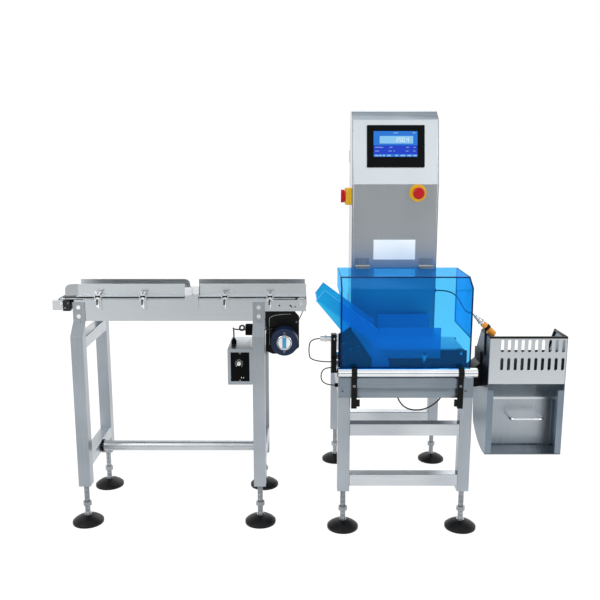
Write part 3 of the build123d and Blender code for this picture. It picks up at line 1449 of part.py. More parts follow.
NAMED = {
    "stand_posts": stand_posts,
    "stand_rails": stand_rails,
    "foot_pads": foot_pads,
    "foot_studs": foot_studs,
    "conveyor_side_plates": conveyor_side_plates,
    "conveyor_bed": conveyor_bed,
    "conveyor_belt": conveyor_belt,
    "drive_roller": drive_roller,
    "tail_roller": tail_roller,
    "tail_tensioners": tail_tensioners,
    "front_infeed_guide": front_infeed_guide,
    "front_outfeed_guide": front_outfeed_guide,
    "rear_infeed_guide": rear_infeed_guide,
    "rear_outfeed_guide": rear_outfeed_guide,
    "guide_brackets": guide_brackets,
    "photo_eyes": photo_eyes,
    "motor_bracket": motor_bracket,
    "gear_motor": gear_motor,
    "motor_pulley": motor_pulley,
    "timing_belt": timing_belt,
    "speed_box": speed_box,
    "speed_panel": speed_panel,
    "speed_knob": speed_knob,
    "power_rocker": power_rocker,
    "cable_fittings": cable_fittings,
    "frame_posts": frame_posts,
    "frame_rails": frame_rails,
    "weigh_housing": weigh_housing,
    "load_cell": load_cell,
    "rail_clamps": rail_clamps,
    "rail_tubes": rail_tubes,
    "weigh_side_plates": weigh_side_plates,
    "weigh_bed": weigh_bed,
    "weigh_belt": weigh_belt,
    "weigh_drive_roller": weigh_drive_roller,
    "weigh_tail_roller": weigh_tail_roller,
    "weigh_guides": weigh_guides,
    "chute_trough": chute_trough,
    "support_brackets": support_brackets,
    "hood": hood,
    "hood_hinges": hood_hinges,
    "hood_leaves": hood_leaves,
    "barrel_sensors": barrel_sensors,
    "cabinet": cabinet,
    "cabinet_door": cabinet_door,
    "cabinet_modules": cabinet_modules,
    "touch_panel": touch_panel,
    "switch_bases": switch_bases,
    "estop_button": estop_button,
    "isolator_handle": isolator_handle,
    "bin_sides": bin_sides,
    "bin_back": bin_back,
    "bin_front_panel": bin_front_panel,
    "bin_gate": bin_gate,
    "bin_edge_trim": bin_edge_trim,
    "motor_cable": motor_cable,
    "sensor_cables": sensor_cables,
    "cell_cable": cell_cable,
    "bin_sensor_cable": bin_sensor_cable,
    "fasteners": fasteners,
}
for name, built in NAMED.items():
    built.part.label = name
    export_step(built.part, f"parts/{name}.step")
    box = built.part.bounding_box()
    print(name, len(built.part.solids()), [round(v, 1) for v in (*box.min, *box.max)])
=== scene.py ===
"""Looks for a checkweigher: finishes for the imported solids, small fittings, cords, light and camera."""

import math

import bmesh
import bpy
from mathutils import Matrix, Vector


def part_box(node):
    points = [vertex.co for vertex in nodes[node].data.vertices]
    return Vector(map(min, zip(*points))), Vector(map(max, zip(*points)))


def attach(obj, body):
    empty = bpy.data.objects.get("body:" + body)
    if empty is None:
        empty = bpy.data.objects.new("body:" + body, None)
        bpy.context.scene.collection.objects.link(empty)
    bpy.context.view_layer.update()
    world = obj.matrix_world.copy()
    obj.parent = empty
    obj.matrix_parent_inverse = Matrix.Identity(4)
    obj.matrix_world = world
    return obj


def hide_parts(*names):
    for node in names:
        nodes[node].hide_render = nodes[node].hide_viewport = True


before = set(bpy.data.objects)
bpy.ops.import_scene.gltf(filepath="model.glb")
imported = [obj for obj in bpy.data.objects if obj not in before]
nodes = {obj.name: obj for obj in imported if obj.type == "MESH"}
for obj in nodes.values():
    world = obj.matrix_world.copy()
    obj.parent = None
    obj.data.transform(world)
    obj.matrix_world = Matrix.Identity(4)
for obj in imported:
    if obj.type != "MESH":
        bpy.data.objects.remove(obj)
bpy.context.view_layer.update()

MM = 0.001
FRONT = (0, -1, 0)
BACK = (0, 1, 0)
LEFT = (-1, 0, 0)
RIGHT = (1, 0, 0)
UP = (0, 0, 1)


def tint(code):
    """An sRGB hex colour as linear red, green, blue and alpha."""
    parts = [int(code[i:i + 2], 16) / 255 for i in (1, 3, 5)]
    return tuple(c / 12.92 if c <= 0.04045 else ((c + 0.055) / 1.055) ** 2.4 for c in parts) + (1.0,)


def add(tree, kind, sockets=None, **settings):
    """A new node with its settings; a socket gets a value, or a link where the value is an output."""
    node = tree.nodes.new(kind)
    for key, value in settings.items():
        setattr(node, key, value)
    for key, value in (sockets or {}).items():
        if isinstance(value, bpy.types.NodeSocket):
            tree.links.new(value, node.inputs[key])
        else:
            node.inputs[key].default_value = value
    return node


# Finishes


def finish_named(name, colour, roughness, metallic=0.0, **more):
    """A material with one Principled surface, and its node tree and surface."""
    material = bpy.data.materials.new(name)
    material.use_nodes = True
    tree = material.node_tree
    tree.nodes.clear()
    surface = add(tree, "ShaderNodeBsdfPrincipled",
                  {"Base Color": tint(colour), "Roughness": roughness, "Metallic": metallic, **more})
    add(tree, "ShaderNodeOutputMaterial", {"Surface": surface.outputs["BSDF"]})
    return material, tree, surface


def show_shader(tree, shader):
    """Lets the material show this shader in the place of its plain surface."""
    output = next(node for node in tree.nodes if node.type == "OUTPUT_MATERIAL")
    tree.links.new(shader.outputs[0], output.inputs["Surface"])


def noise(tree, size_mm, detail=3.0):
    """Noise on Object coordinates, with its grain size along X, Y and Z in millimetres."""
    place = add(tree, "ShaderNodeTexCoord")
    scaled = add(tree, "ShaderNodeMapping",
                 {"Vector": place.outputs["Object"], "Scale": [1 / (s * MM) for s in size_mm]})
    return add(tree, "ShaderNodeTexNoise",
               {"Vector": scaled.outputs["Vector"], "Scale": 1.0, "Detail": detail}).outputs["Fac"]


def between(tree, factor, low, high):
    """A number that goes from low to high as the factor goes through the middle of its range."""
    return add(tree, "ShaderNodeMapRange",
               {"Value": factor, "From Min": 0.3, "From Max": 0.7, "To Min": low, "To Max": high}).outputs[0]


def two_tone(tree, factor, dark, light):
    """A colour that goes from dark to light with the factor."""
    level = between(tree, factor, 0.0, 1.0)
    return add(tree, "ShaderNodeMix", {0: level, 6: tint(dark), 7: tint(light)}, data_type="RGBA").outputs[2]


def bumped(tree, surface, factor, depth_mm, strength=0.5, edge_mm=0.0):
    """Relief of that depth on the surface, with edges broken by a small radius where one is given."""
    relief = {"Height": factor, "Strength": strength, "Distance": depth_mm * MM}
    if edge_mm:
        rounded = add(tree, "ShaderNodeBevel", {"Radius": edge_mm * MM}, samples=4)
        relief["Normal"] = rounded.outputs["Normal"]
    bump = add(tree, "ShaderNodeBump", relief)
    tree.links.new(bump.outputs["Normal"], surface.inputs["Normal"])


def brushed(name, dark, light, streak_mm, rough=(0.26, 0.4), relief=0.2):
    """Stainless sheet or tube ground with an abrasive belt. The real scratches are about 0.1 mm wide,
    too fine to show, so the streaks are drawn about 2 mm wide."""
    material, tree, surface = finish_named(name, light, 0.33, metallic=1.0)
    streak = noise(tree, streak_mm)
    cloud = noise(tree, (220, 220, 220), 2.0)
    level = add(tree, "ShaderNodeMix", {0: 0.35, 2: cloud, 3: streak}, data_type="FLOAT").outputs[0]
    tree.links.new(two_tone(tree, level, dark, light), surface.inputs["Base Color"])
    tree.links.new(between(tree, streak, *rough), surface.inputs["Roughness"])
    bumped(tree, surface, streak, depth_mm=0.012, strength=relief, edge_mm=0.8)
    return material


def grained(name, colour_pair, rough, grain_mm, depth_mm, metallic=0.0, edge_mm=0.6, strength=0.5, **more):
    """A surface with an even grain: moulded plastic, rubber, enamel, or blasted and anodised metal."""
    material, tree, surface = finish_named(name, colour_pair[1], rough[0], metallic, **more)
    grain = noise(tree, (grain_mm,) * 3)
    cloud = noise(tree, (90, 90, 90), 2.0)
    tree.links.new(two_tone(tree, cloud, *colour_pair), surface.inputs["Base Color"])
    tree.links.new(between(tree, grain, *rough), surface.inputs["Roughness"])
    bumped(tree, surface, grain, depth_mm, strength, edge_mm)
    return material


# Cold-rolled 304 tube and sheet, belt-ground upwards: soft vertical streaks in a grey metal.
STEEL_UP = brushed("brushed_stainless_upright", "#8D949B", "#A9B0B6", (1.6, 90, 180))
# Finer ground sheet of the cabinet: brighter than the tube frames, with hardly any streaks.
STEEL_CABINET = brushed("fine_brushed_cabinet_sheet", "#B3B9BE", "#BEC4C9", (1.4, 120, 260),
                        rough=(0.28, 0.34), relief=0.05)
# Rails and belt beds ground along the line: a pale metal with level streaks.
STEEL_LONG = brushed("brushed_stainless_lengthwise", "#A9AFB4", "#CBD0D4", (180, 2.0, 1.6))
# Plates and panels ground finer still, nearly white where they face the light.
STEEL_PLATE = brushed("fine_brushed_conveyor_plate", "#BDC3C7", "#C8CDD1", (220, 2.0, 1.6),
                      rough=(0.27, 0.31), relief=0.03)
# Stand rails ground across the line, so that their streaks run from front to back.
STEEL_CROSS = brushed("brushed_stainless_crosswise", "#A2A8AD", "#C2C7CB", (60, 180, 1.8))
# Coarsely ground sheet of the weigh housing, its lip and the cabinet's brow; its dull blue-grey base colour,
# darker than the other sheet, is painted shade.
STEEL_SHADE = brushed("coarse_brushed_stainless_painted_shade", "#6F7983", "#909AA3", (180, 2.0, 1.6))
# The bin's folded sides, ground upwards, with a base colour darker and bluer than the other sheet: a painted
# reflection of the blue hood beside them.
STEEL_BIN = brushed("ground_stainless_bin_wall_painted_reflection", "#65727F", "#86929E", (90, 2.4, 140))
# Guide rails folded from brighter, finer ground sheet.
STEEL_BRIGHT = brushed("fine_ground_stainless", "#C4C9CD", "#CFD4D7", (220, 1.6, 1.6),
                       rough=(0.26, 0.3), relief=0.03)
# Round tube with a polished skin: narrow bright lines run along it.
STEEL_POLISHED = brushed("polished_stainless_tube", "#C3C8CC", "#F0F2F4", (220, 3.0, 3.0), rough=(0.1, 0.18))
# Turned and zinc-plated studs and screw heads: a duller grey than the sheet, with a fine uneven skin.
ZINC = grained("zinc_plated_steel", ("#787D82", "#9EA3A7"), (0.16, 0.28), 1.2, 0.02,
               metallic=1.0, edge_mm=0.3)
# Nickel-plated brass of the sensors' barrels and nuts and of the motor's ring: almost a mirror.
NICKEL = grained("nickel_plated_brass", ("#A3A6A8", "#C9CBCC"), (0.1, 0.2), 1.5, 0.01,
                 metallic=1.0, edge_mm=0.4)
# Chrome-plated screws, rods and straps: a mirror that shows both the white room and its dark end.
CHROME = grained("chrome_plated_screws", ("#D2D4D6", "#F2F3F3"), (0.06, 0.14), 1.5, 0.01,
                 metallic=1.0, edge_mm=0.4)
# Milled aluminium: pale and fairly matt.
MILLED = grained("milled_aluminium", ("#B6B8BA", "#D2D4D6"), (0.32, 0.44), 1.4, 0.03, metallic=1.0)
# Black hard-anodised aluminium: near-black, satin, with a faint blasted grain.
ANODISED = grained("black_anodised_aluminium", ("#060708", "#0D0E10"), (0.3, 0.44), 0.9, 0.03, metallic=0.35,
                   **{"Specular IOR Level": 0.2})
# Stove enamel on the gear motor: deep navy, slightly orange-peeled.
ENAMEL = grained("navy_stove_enamel", ("#0B1A33", "#122645"), (0.28, 0.4), 2.6, 0.05,
                 **{"Specular IOR Level": 0.25})
# Natural rubber, compression moulded: flat black with dust in its grain.
RUBBER = grained("moulded_rubber", ("#030405", "#090A0C"), (0.34, 0.46), 1.3, 0.05,
                 **{"Specular IOR Level": 0.22})
# Moulded ABS covers, each with a fine spark-eroded grain that takes the edge off their gloss.
ABS_BLACK = grained("black_moulded_abs", ("#040506", "#0A0B0D"), (0.22, 0.32), 0.8, 0.02,
                    **{"Specular IOR Level": 0.05})
ABS_WHITE = grained("white_moulded_abs", ("#DDE0E2", "#F0F2F3"), (0.35, 0.48), 0.8, 0.03)
ABS_YELLOW = grained("yellow_moulded_abs", ("#E2A70B", "#F4BE14"), (0.28, 0.4), 0.8, 0.03)
ABS_RED = grained("red_moulded_abs", ("#A60B15", "#C9131D"), (0.26, 0.36), 0.8, 0.02,
                  **{"Specular IOR Level": 0.3})
ABS_BLUE = grained("blue_moulded_abs", ("#1F7FB0", "#3FA2D0"), (0.3, 0.42), 0.8, 0.03)
ABS_GREY = grained("grey_moulded_abs", ("#4A4F54", "#666C72"), (0.4, 0.55), 0.8, 0.03)
# PVC cable jacket and the orange sleeve of the bin's sensor: soft gloss.
PVC_BLACK = grained("black_pvc_jacket", ("#0C0C0D", "#161718"), (0.34, 0.46), 2.0, 0.03, edge_mm=0.0)
PVC_ORANGE = grained("orange_pvc_sleeve", ("#D97D12", "#F0A02C"), (0.36, 0.5), 2.0, 0.04, edge_mm=0.0)
# Laminated polyester label film: pale, with a soft gloss, and a faint glow of its own, though it is no lamp:
# painted light.
FILM = grained("polyester_label_film_painted_glow", ("#DCE3E6", "#EDF2F3"), (0.3, 0.4), 4.0, 0.01, edge_mm=0.0,
               **{"Emission Color": tint("#E4F4FF"), "Emission Strength": 0.22})


# Blender's wave texture goes through 20 radians in one unit of its coordinates.
WAVE_TEXTURE_STEP = 20


def woven(name, colour_pair, rough, wave_mm, depth_mm):
    """Belting with a woven cover. The real cloth has threads about every 0.6 mm, too fine to show; they are
    drawn as waves two pi times wave_mm long, about 12.6 mm."""
    material, tree, surface = finish_named(name, colour_pair[1], rough[0])
    place = add(tree, "ShaderNodeTexCoord").outputs["Object"]
    scale = 1 / (WAVE_TEXTURE_STEP * wave_mm * MM)
    waves = [add(tree, "ShaderNodeTexWave", {"Vector": place, "Scale": scale, "Distortion": 0.4},
                 bands_direction=axis).outputs["Fac"] for axis in ("X", "Y")]
    weave = add(tree, "ShaderNodeMath", {0: waves[0], 1: waves[1]}, operation="MULTIPLY").outputs[0]
    scuff = noise(tree, (60, 20, 60))
    tree.links.new(two_tone(tree, scuff, *colour_pair), surface.inputs["Base Color"])
    tree.links.new(between(tree, scuff, *rough), surface.inputs["Roughness"])
    bumped(tree, surface, weave, depth_mm, 0.4)
    return material


# Conveyor belting with a cloth of black PVC, dull, and the weigher's smoother white belting.
BELT_BLACK = woven("black_pvc_belting", ("#101113", "#1C1D1F"), (0.5, 0.66), 2.0, 0.08)
BELT_WHITE = woven("white_polyurethane_belting", ("#D5DADB", "#E9EDED"), (0.38, 0.5), 2.0, 0.06)


def acrylic(name, through, body, haze):
    """Cast acrylic sheet dyed through: light is tinted at both skins, part of it is scattered by the dye,
    and the polished skin mirrors more at low angles."""
    material, tree, surface = finish_named(name, body, 0.12, IOR=1.49)
    cloud = noise(tree, (220, 220, 220), 1.0)
    tree.links.new(between(tree, cloud, 0.08, 0.16), surface.inputs["Roughness"])
    clear = add(tree, "ShaderNodeBsdfTransparent", {"Color": tint(through)})
    dyed = add(tree, "ShaderNodeMixShader", {0: haze, 1: clear.outputs[0], 2: surface.outputs[0]})
    skin = add(tree, "ShaderNodeBsdfGlossy", {"Color": tint("#6FBCFF"), "Roughness": 0.06})
    tilt = add(tree, "ShaderNodeLayerWeight", {"Blend": 0.5}).outputs["Facing"]
    steep = add(tree, "ShaderNodeMath", {0: tilt, 1: 4.0}, operation="POWER").outputs[0]
    mirror = add(tree, "ShaderNodeMapRange", {"Value": steep, "To Min": 0.02, "To Max": 0.4})
    whole = add(tree, "ShaderNodeMixShader", {0: mirror.outputs[0], 1: dyed.outputs[0], 2: skin.outputs[0]})
    show_shader(tree, whole)
    return material


# The hood is clear blue, the chute and guides under it are a denser blue.
ACRYLIC_HOOD = acrylic("clear_blue_acrylic", "#98E4FD", "#0092F0", 0.07)
ACRYLIC_DENSE = acrylic("dense_blue_acrylic", "#86E8FF", "#00C2EC", 0.48)
# Glued and flamed edges of the chute's sheet, drawn in a brighter blue than the sheet: a painted highlight
# where they catch the light.
ACRYLIC_BRIGHT = grained("bright_blue_acrylic_edge_painted_highlight", ("#2AA8F4", "#55C4FF"), (0.15, 0.25), 3.0, 0.01,
                         edge_mm=0.0)
# Sawn and polished edges of the same sheet, where the dye gathers.
ACRYLIC_EDGE = grained("blue_acrylic_edge", ("#03113F", "#062060"), (0.36, 0.46), 3.0, 0.01, edge_mm=0.0,
                       **{"Specular IOR Level": 0.15})


def glowing(name, colour, strength):
    """Lit part of a liquid crystal display behind glass: an even colour that gives some light itself."""
    material, tree, surface = finish_named(name, "#02040C", 0.2, **{"Specular IOR Level": 0.15})
    surface.inputs["Emission Color"].default_value = tint(colour)
    surface.inputs["Emission Strength"].default_value = strength
    grid = noise(tree, (6, 6, 6), 1.0)
    tree.links.new(between(tree, grid, 0.16, 0.24), surface.inputs["Roughness"])
    return material


SCREEN_BLUE = glowing("display_blue", "#0F3CC8", 0.95)
SCREEN_LIGHT = glowing("display_light_blue", "#1F76DA", 0.95)
SCREEN_PALE = glowing("display_pale_field", "#8CCBF2", 0.95)
SCREEN_TEXT = glowing("display_blue_white_text", "#9CC6F6", 0.9)
SCREEN_WHITE = glowing("display_white_digits", "#F2F9FF", 1.0)


YOKE_EDGE = -804


def split_block(name):
    """The belt's take-up: a black anodised block, and left of the yoke's edge plain zinc-plated steel."""
    material, tree, surface = finish_named(name, "#C9CCCE", 0.28, metallic=1.0)
    black = add(tree, "ShaderNodeBsdfPrincipled",
                {"Base Color": tint("#131416"), "Roughness": 0.4, "Metallic": 0.3})
    place = add(tree, "ShaderNodeTexCoord").outputs["Object"]
    across = add(tree, "ShaderNodeSeparateXYZ", {0: place}).outputs["X"]
    past = add(tree, "ShaderNodeMath", {0: across, 1: YOKE_EDGE * MM}, operation="GREATER_THAN").outputs[0]
    grain = noise(tree, (1.2, 1.2, 1.2))
    for part in (surface, black):
        bumped(tree, part, grain, depth_mm=0.03, strength=0.4, edge_mm=0.6)
    mixed = add(tree, "ShaderNodeMixShader", {0: past, 1: surface.outputs[0], 2: black.outputs[0]})
    show_shader(tree, mixed)
    return material


FINISH_OF = {
    STEEL_UP: ("stand_posts", "frame_posts", "speed_box", "bin_back", "bin_gate", "hood_hinges",
               "hood_leaves"),
    STEEL_CABINET: ("cabinet", "cabinet_door"),
    STEEL_SHADE: ("weigh_housing",),
    STEEL_LONG: ("frame_rails", "conveyor_bed", "weigh_bed"),
    STEEL_PLATE: ("conveyor_side_plates", "guide_brackets", "bin_front_panel"),
    STEEL_CROSS: ("stand_rails",),
    STEEL_BIN: ("bin_sides",),
    STEEL_BRIGHT: ("front_infeed_guide", "front_outfeed_guide", "rear_infeed_guide",
                   "rear_outfeed_guide"),
    STEEL_POLISHED: ("rail_tubes", "drive_roller", "tail_roller", "weigh_drive_roller",
                     "weigh_tail_roller"),
    NICKEL: ("barrel_sensors",),
    CHROME: ("fasteners",),
    ZINC: ("foot_studs",),
    MILLED: ("motor_pulley", "load_cell"),
    ANODISED: ("motor_bracket", "rail_clamps", "weigh_side_plates", "support_brackets"),
    ENAMEL: ("gear_motor",),
    RUBBER: ("foot_pads", "timing_belt", "bin_edge_trim"),
    ABS_BLACK: ("speed_panel", "cable_fittings", "touch_panel", "power_rocker"),
    ABS_WHITE: ("photo_eyes", "speed_knob"),
    ABS_YELLOW: ("switch_bases",),
    ABS_RED: ("estop_button", "isolator_handle"),
    ABS_GREY: ("cabinet_modules",),
    BELT_BLACK: ("conveyor_belt",),
    BELT_WHITE: ("weigh_belt",),
    ACRYLIC_HOOD: ("hood",),
    ACRYLIC_DENSE: ("weigh_guides", "chute_trough"),
    split_block("anodised_block_and_zinc_yoke"): ("tail_tensioners",),
}
for material, names in FINISH_OF.items():
    for name in names:
        nodes[name].data.materials.clear()
        nodes[name].data.materials.append(material)


# Small fittings


def shown(name, body, material, mesh_or_bm):
    """A finished piece at the origin, riding on its body, with its sharp edges kept sharp."""
    if isinstance(mesh_or_bm, bmesh.types.BMesh):
        bmesh.ops.remove_doubles(mesh_or_bm, verts=mesh_or_bm.verts, dist=1e-7)
        bmesh.ops.recalc_face_normals(mesh_or_bm, faces=mesh_or_bm.faces)
        mesh = bpy.data.meshes.new(name)
        mesh_or_bm.to_mesh(mesh)
        mesh_or_bm.free()
    else:
        mesh = mesh_or_bm
    if material:
        mesh.materials.clear()
        mesh.materials.append(material)
    mesh.shade_smooth()
    mesh.set_sharp_from_angle(angle=math.radians(32))
    piece = bpy.data.objects.new(name, mesh)
    bpy.context.scene.collection.objects.link(piece)
    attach(piece, body)


def block(bm, low, high, edge=0.4, place=None):
    """A box between two corners, in millimetres, with its edges broken."""
    size = [(b - a) * MM for a, b in zip(low, high)]
    middle = [(a + b) / 2 * MM for a, b in zip(low, high)]
    matrix = Matrix.Translation(middle) @ Matrix.Diagonal((*size, 1))
    made = bmesh.ops.create_cube(bm, size=1, matrix=(place @ matrix) if place else matrix)
    edges = {e for v in made["verts"] for e in v.link_edges}
    if edge:
        bmesh.ops.bevel(bm, geom=list(edges), offset=edge * MM, segments=2, profile=0.5, affect="EDGES")


def turned(bm, base, axis, profile, count=32):
    """A turned shape: rings of (radius, height) in millimetres, up the axis from its base."""
    up = Vector(axis).normalized()
    side = up.orthogonal().normalized()
    other = up.cross(side)
    start = Vector(base) * MM
    rings = []
    for radius, height in profile:
        centre = start + up * height * MM
        if radius == 0:
            rings.append([bm.verts.new(centre)])
            continue
        turns = [2 * math.pi * i / count for i in range(count)]
        rings.append([bm.verts.new(centre + (side * math.cos(a) + other * math.sin(a)) * radius * MM)
                      for a in turns])
    for lower, upper in zip(rings, rings[1:]):
        for i in range(count):
            corners = [lower[i % len(lower)], lower[(i + 1) % len(lower)],
                       upper[(i + 1) % len(upper)], upper[i % len(upper)]]
            unique = list(dict.fromkeys(corners))
            if len(unique) > 2:
                bm.faces.new(unique)


def posed(point, degrees, axis):
    """A turn about an axis through a point in millimetres, for what is drawn round the origin."""
    return Matrix.Translation(Vector(point) * MM) @ Matrix.Rotation(math.radians(degrees), 4, axis)


def met(node, x, z, front=True):
    """The point in millimetres where a line along Y at that X and Z first meets a CAD node."""
    way = 1 if front else -1
    found, where, _, _ = nodes[node].ray_cast(Vector((x * MM, -way * 0.6, z * MM)), Vector((0, way, 0)))
    if not found:
        raise ValueError(f"{node} has nothing at X {x}, Z {z}")
    return (x, where.y / MM, z)


# What repeats: Geometry Nodes trees


def new_tree(name, inputs):
    """A tree with a Geometry input and output and the named inputs, and its two end nodes."""
    tree = bpy.data.node_groups.new(name, "GeometryNodeTree")
    tree.interface.new_socket("Geometry", in_out="INPUT", socket_type="NodeSocketGeometry")
    for label, kind in inputs:
        tree.interface.new_socket(label, in_out="INPUT", socket_type=kind)
    tree.interface.new_socket("Geometry", in_out="OUTPUT", socket_type="NodeSocketGeometry")
    return tree, tree.nodes.new("NodeGroupInput").outputs, tree.nodes.new("NodeGroupOutput")


def on_points(tree, given, shape):
    """The shape on each point of the given mesh, turned to its facing, as real geometry."""
    facing = add(tree, "GeometryNodeInputNamedAttribute", {"Name": "facing"}, data_type="FLOAT_VECTOR")
    turn = add(tree, "FunctionNodeAlignRotationToVector", {"Vector": facing.outputs["Attribute"]}, axis="Z")
    points = add(tree, "GeometryNodeMeshToPoints", {"Mesh": given["Geometry"]})
    placed = add(tree, "GeometryNodeInstanceOnPoints", {
        "Points": points.outputs[0], "Instance": shape.outputs[0], "Rotation": turn.outputs[0]})
    return add(tree, "GeometryNodeRealizeInstances", {"Geometry": placed.outputs[0]}).outputs[0]


def screw_tree():
    """Cap heads on points: a skirt, a chamfered top and a black hexagon in place of the socket's hollow,
    painted shade, turned to the facing.
    """
    tree, given, end = new_tree("screw_heads", [
        ("Head Radius", "NodeSocketFloat"), ("Head Height", "NodeSocketFloat"),
        ("Socket Radius", "NodeSocketFloat"), ("Metal", "NodeSocketMaterial"),
        ("Socket", "NodeSocketMaterial")])
    radius, height, socket = given["Head Radius"], given["Head Height"], given["Socket Radius"]
    sides, rim_share, slope_share, socket_share = 20, 0.82, 0.3, 0.67
    skirt = add(tree, "GeometryNodeMeshCylinder", {"Vertices": sides, "Radius": radius, "Depth": height})
    rim = add(tree, "ShaderNodeMath", {0: radius, 1: rim_share}, operation="MULTIPLY")
    slope = add(tree, "ShaderNodeMath", {0: height, 1: slope_share}, operation="MULTIPLY")
    half = add(tree, "ShaderNodeMath", {0: height, 1: 0.5}, operation="MULTIPLY")
    top = add(tree, "GeometryNodeMeshCone", {"Vertices": sides, "Radius Top": rim.outputs[0],
                                             "Radius Bottom": radius, "Depth": slope.outputs[0]})
    lifted = add(tree, "ShaderNodeCombineXYZ", {"Z": half.outputs[0]})
    cap = add(tree, "GeometryNodeTransform", {"Geometry": top.outputs["Mesh"],
                                              "Translation": lifted.outputs[0]})
    head = add(tree, "GeometryNodeJoinGeometry")
    tree.links.new(skirt.outputs["Mesh"], head.inputs[0])
    tree.links.new(cap.outputs[0], head.inputs[0])
    plated = add(tree, "GeometryNodeSetMaterial", {"Geometry": head.outputs[0], "Material": given["Metal"]})
    # The socket is a black hexagon standing on the head: painted shade in place of its hollow.
    hexagon = add(tree, "GeometryNodeMeshCylinder",
                  {"Vertices": 6, "Radius": socket, "Depth": slope.outputs[0]})
    rise = add(tree, "ShaderNodeMath", {0: height, 1: socket_share}, operation="MULTIPLY")
    raised = add(tree, "ShaderNodeCombineXYZ", {"Z": rise.outputs[0]})
    set_in = add(tree, "GeometryNodeTransform", {"Geometry": hexagon.outputs["Mesh"],
                                                 "Translation": raised.outputs[0]})
    dark = add(tree, "GeometryNodeSetMaterial", {"Geometry": set_in.outputs[0], "Material": given["Socket"]})
    whole = add(tree, "GeometryNodeJoinGeometry")
    tree.links.new(plated.outputs[0], whole.inputs[0])
    tree.links.new(dark.outputs[0], whole.inputs[0])
    tree.links.new(on_points(tree, given, whole), end.inputs[0])
    return tree


def thread_tree():
    """A screw thread round each point's axis, as a three-sided ridge that winds up it."""
    tree, given, end = new_tree("thread_ridges", [
        ("Radius", "NodeSocketFloat"), ("Length", "NodeSocketFloat"), ("Turns", "NodeSocketFloat"),
        ("Ridge", "NodeSocketFloat"), ("Metal", "NodeSocketMaterial")])
    helix = add(tree, "GeometryNodeCurveSpiral", {
        "Resolution": 14, "Rotations": given["Turns"], "Start Radius": given["Radius"],
        "End Radius": given["Radius"], "Height": given["Length"]})
    ridge = add(tree, "GeometryNodeCurvePrimitiveCircle", {"Resolution": 3, "Radius": given["Ridge"]})
    wound = add(tree, "GeometryNodeCurveToMesh", {
        "Curve": helix.outputs[0], "Profile Curve": ridge.outputs["Curve"], "Fill Caps": True})
    metal = add(tree, "GeometryNodeSetMaterial",
                {"Geometry": on_points(tree, given, wound), "Material": given["Metal"]})
    tree.links.new(metal.outputs[0], end.inputs[0])
    return tree


def repeated(name, body, slot, tree, places, **inputs):
    """One plain mesh of what the tree puts on each place, a point and a facing, in millimetres."""
    seeds = bpy.data.meshes.new(name + "_points")
    seeds.from_pydata([Vector(p) * MM for p, _ in places], [], [])
    facing = seeds.attributes.new("facing", "FLOAT_VECTOR", "POINT")
    for i, (_, way) in enumerate(places):
        facing.data[i].vector = way
    holder = bpy.data.objects.new(name + "_holder", seeds)
    bpy.context.scene.collection.objects.link(holder)
    grow = holder.modifiers.new("grow", "NODES")
    grow.node_group = tree
    sockets = {s.name: s.identifier for s in tree.interface.items_tree if s.in_out == "INPUT"}
    for label, value in inputs.items():
        grow[sockets[label.replace("_", " ")]] = value
    graph = bpy.context.evaluated_depsgraph_get()
    mesh = bpy.data.meshes.new_from_object(holder.evaluated_get(graph), depsgraph=graph)
    bpy.data.objects.remove(holder)
    mesh.name = name
    shown(name, body, None, mesh)


SCREWS = screw_tree()
THREADS = thread_tree()

# Cap heads, at X and Z on the face of the CAD node that they are screwed to

HOUSING_SCREWS = ((118, 488), (521, 488))
large_screws = [(met("weigh_housing", x, z, front), way)
                for front, way in ((True, FRONT), (False, BACK)) for x, z in HOUSING_SCREWS]
large_screws += [(met("rail_clamps", x, 508), FRONT) for x in (156, 502)]

panel_low, panel_high = (Vector(c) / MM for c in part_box("speed_panel"))
panel_x = (panel_low.x + panel_high.x) / 2
FRONT_SCREWS = (
    ("gear_motor", ((-71, 613), (-71, 675))),
    ("motor_bracket", ((-31.5, 700), (-29, 630))),
    ("support_brackets", ((125, 631), (148, 612), (126, 585), (175, 622))),
    ("weigh_side_plates", ((518, 603),)),
    ("speed_panel", ((panel_x, panel_low.z + 6), (panel_x, panel_high.z - 6))),
    ("tail_tensioners", ((-797, 748), (-787, 764))),
)
small_screws = [(met(node, x, z), FRONT) for node, places in FRONT_SCREWS for x, z in places]
ISOLATOR_BASE = (142, 37.5, 1102)
BASE_SCREW = 24
small_screws += [((ISOLATOR_BASE[0], ISOLATOR_BASE[1] + a, ISOLATOR_BASE[2] + b), LEFT)
                 for a in (-BASE_SCREW, BASE_SCREW) for b in (-BASE_SCREW, BASE_SCREW)]

for name, places, radius, height, socket in (("housing_and_plate_screws", large_screws, 4.6, 3.2, 2.3),
                                             ("motor_and_panel_screws", small_screws, 3.2, 2.2, 1.6)):
    repeated(name, "machine", "steel", SCREWS, places, Head_Radius=radius * MM, Head_Height=height * MM,
             Socket_Radius=socket * MM, Metal=ZINC, Socket=ABS_BLACK)


# Threads of the levelling feet, about 2.5 mm a turn

STUD_PLACES = [(x, y) for x in (-751.5, -156.5) for y in (-256, 44)]
STUD_PLACES += [(x, y) for x in (125, 525) for y in (-292.5, 292.5)]
STUD_FOOT = 31.5
repeated("foot_stud_threads", "machine", "steel", THREADS, [((x, y, STUD_FOOT), UP) for x, y in STUD_PLACES],
         Radius=8.5 * MM, Length=117 * MM, Turns=47.0, Ridge=0.6 * MM, Metal=ZINC)


# Clamps of the front guides: a chrome rod and a small wing screw before each bracket, and black pieces in
# the rubber finish behind them: painted shadow in the gaps


def wings(bm, centre, lean, low, high, edge):
    """The two arms of a wing screw: a block on each side, leaned that many degrees about its centre."""
    for way in (-1, 1):
        block(bm, low, high, edge, place=posed(centre, way * lean, "Y"))


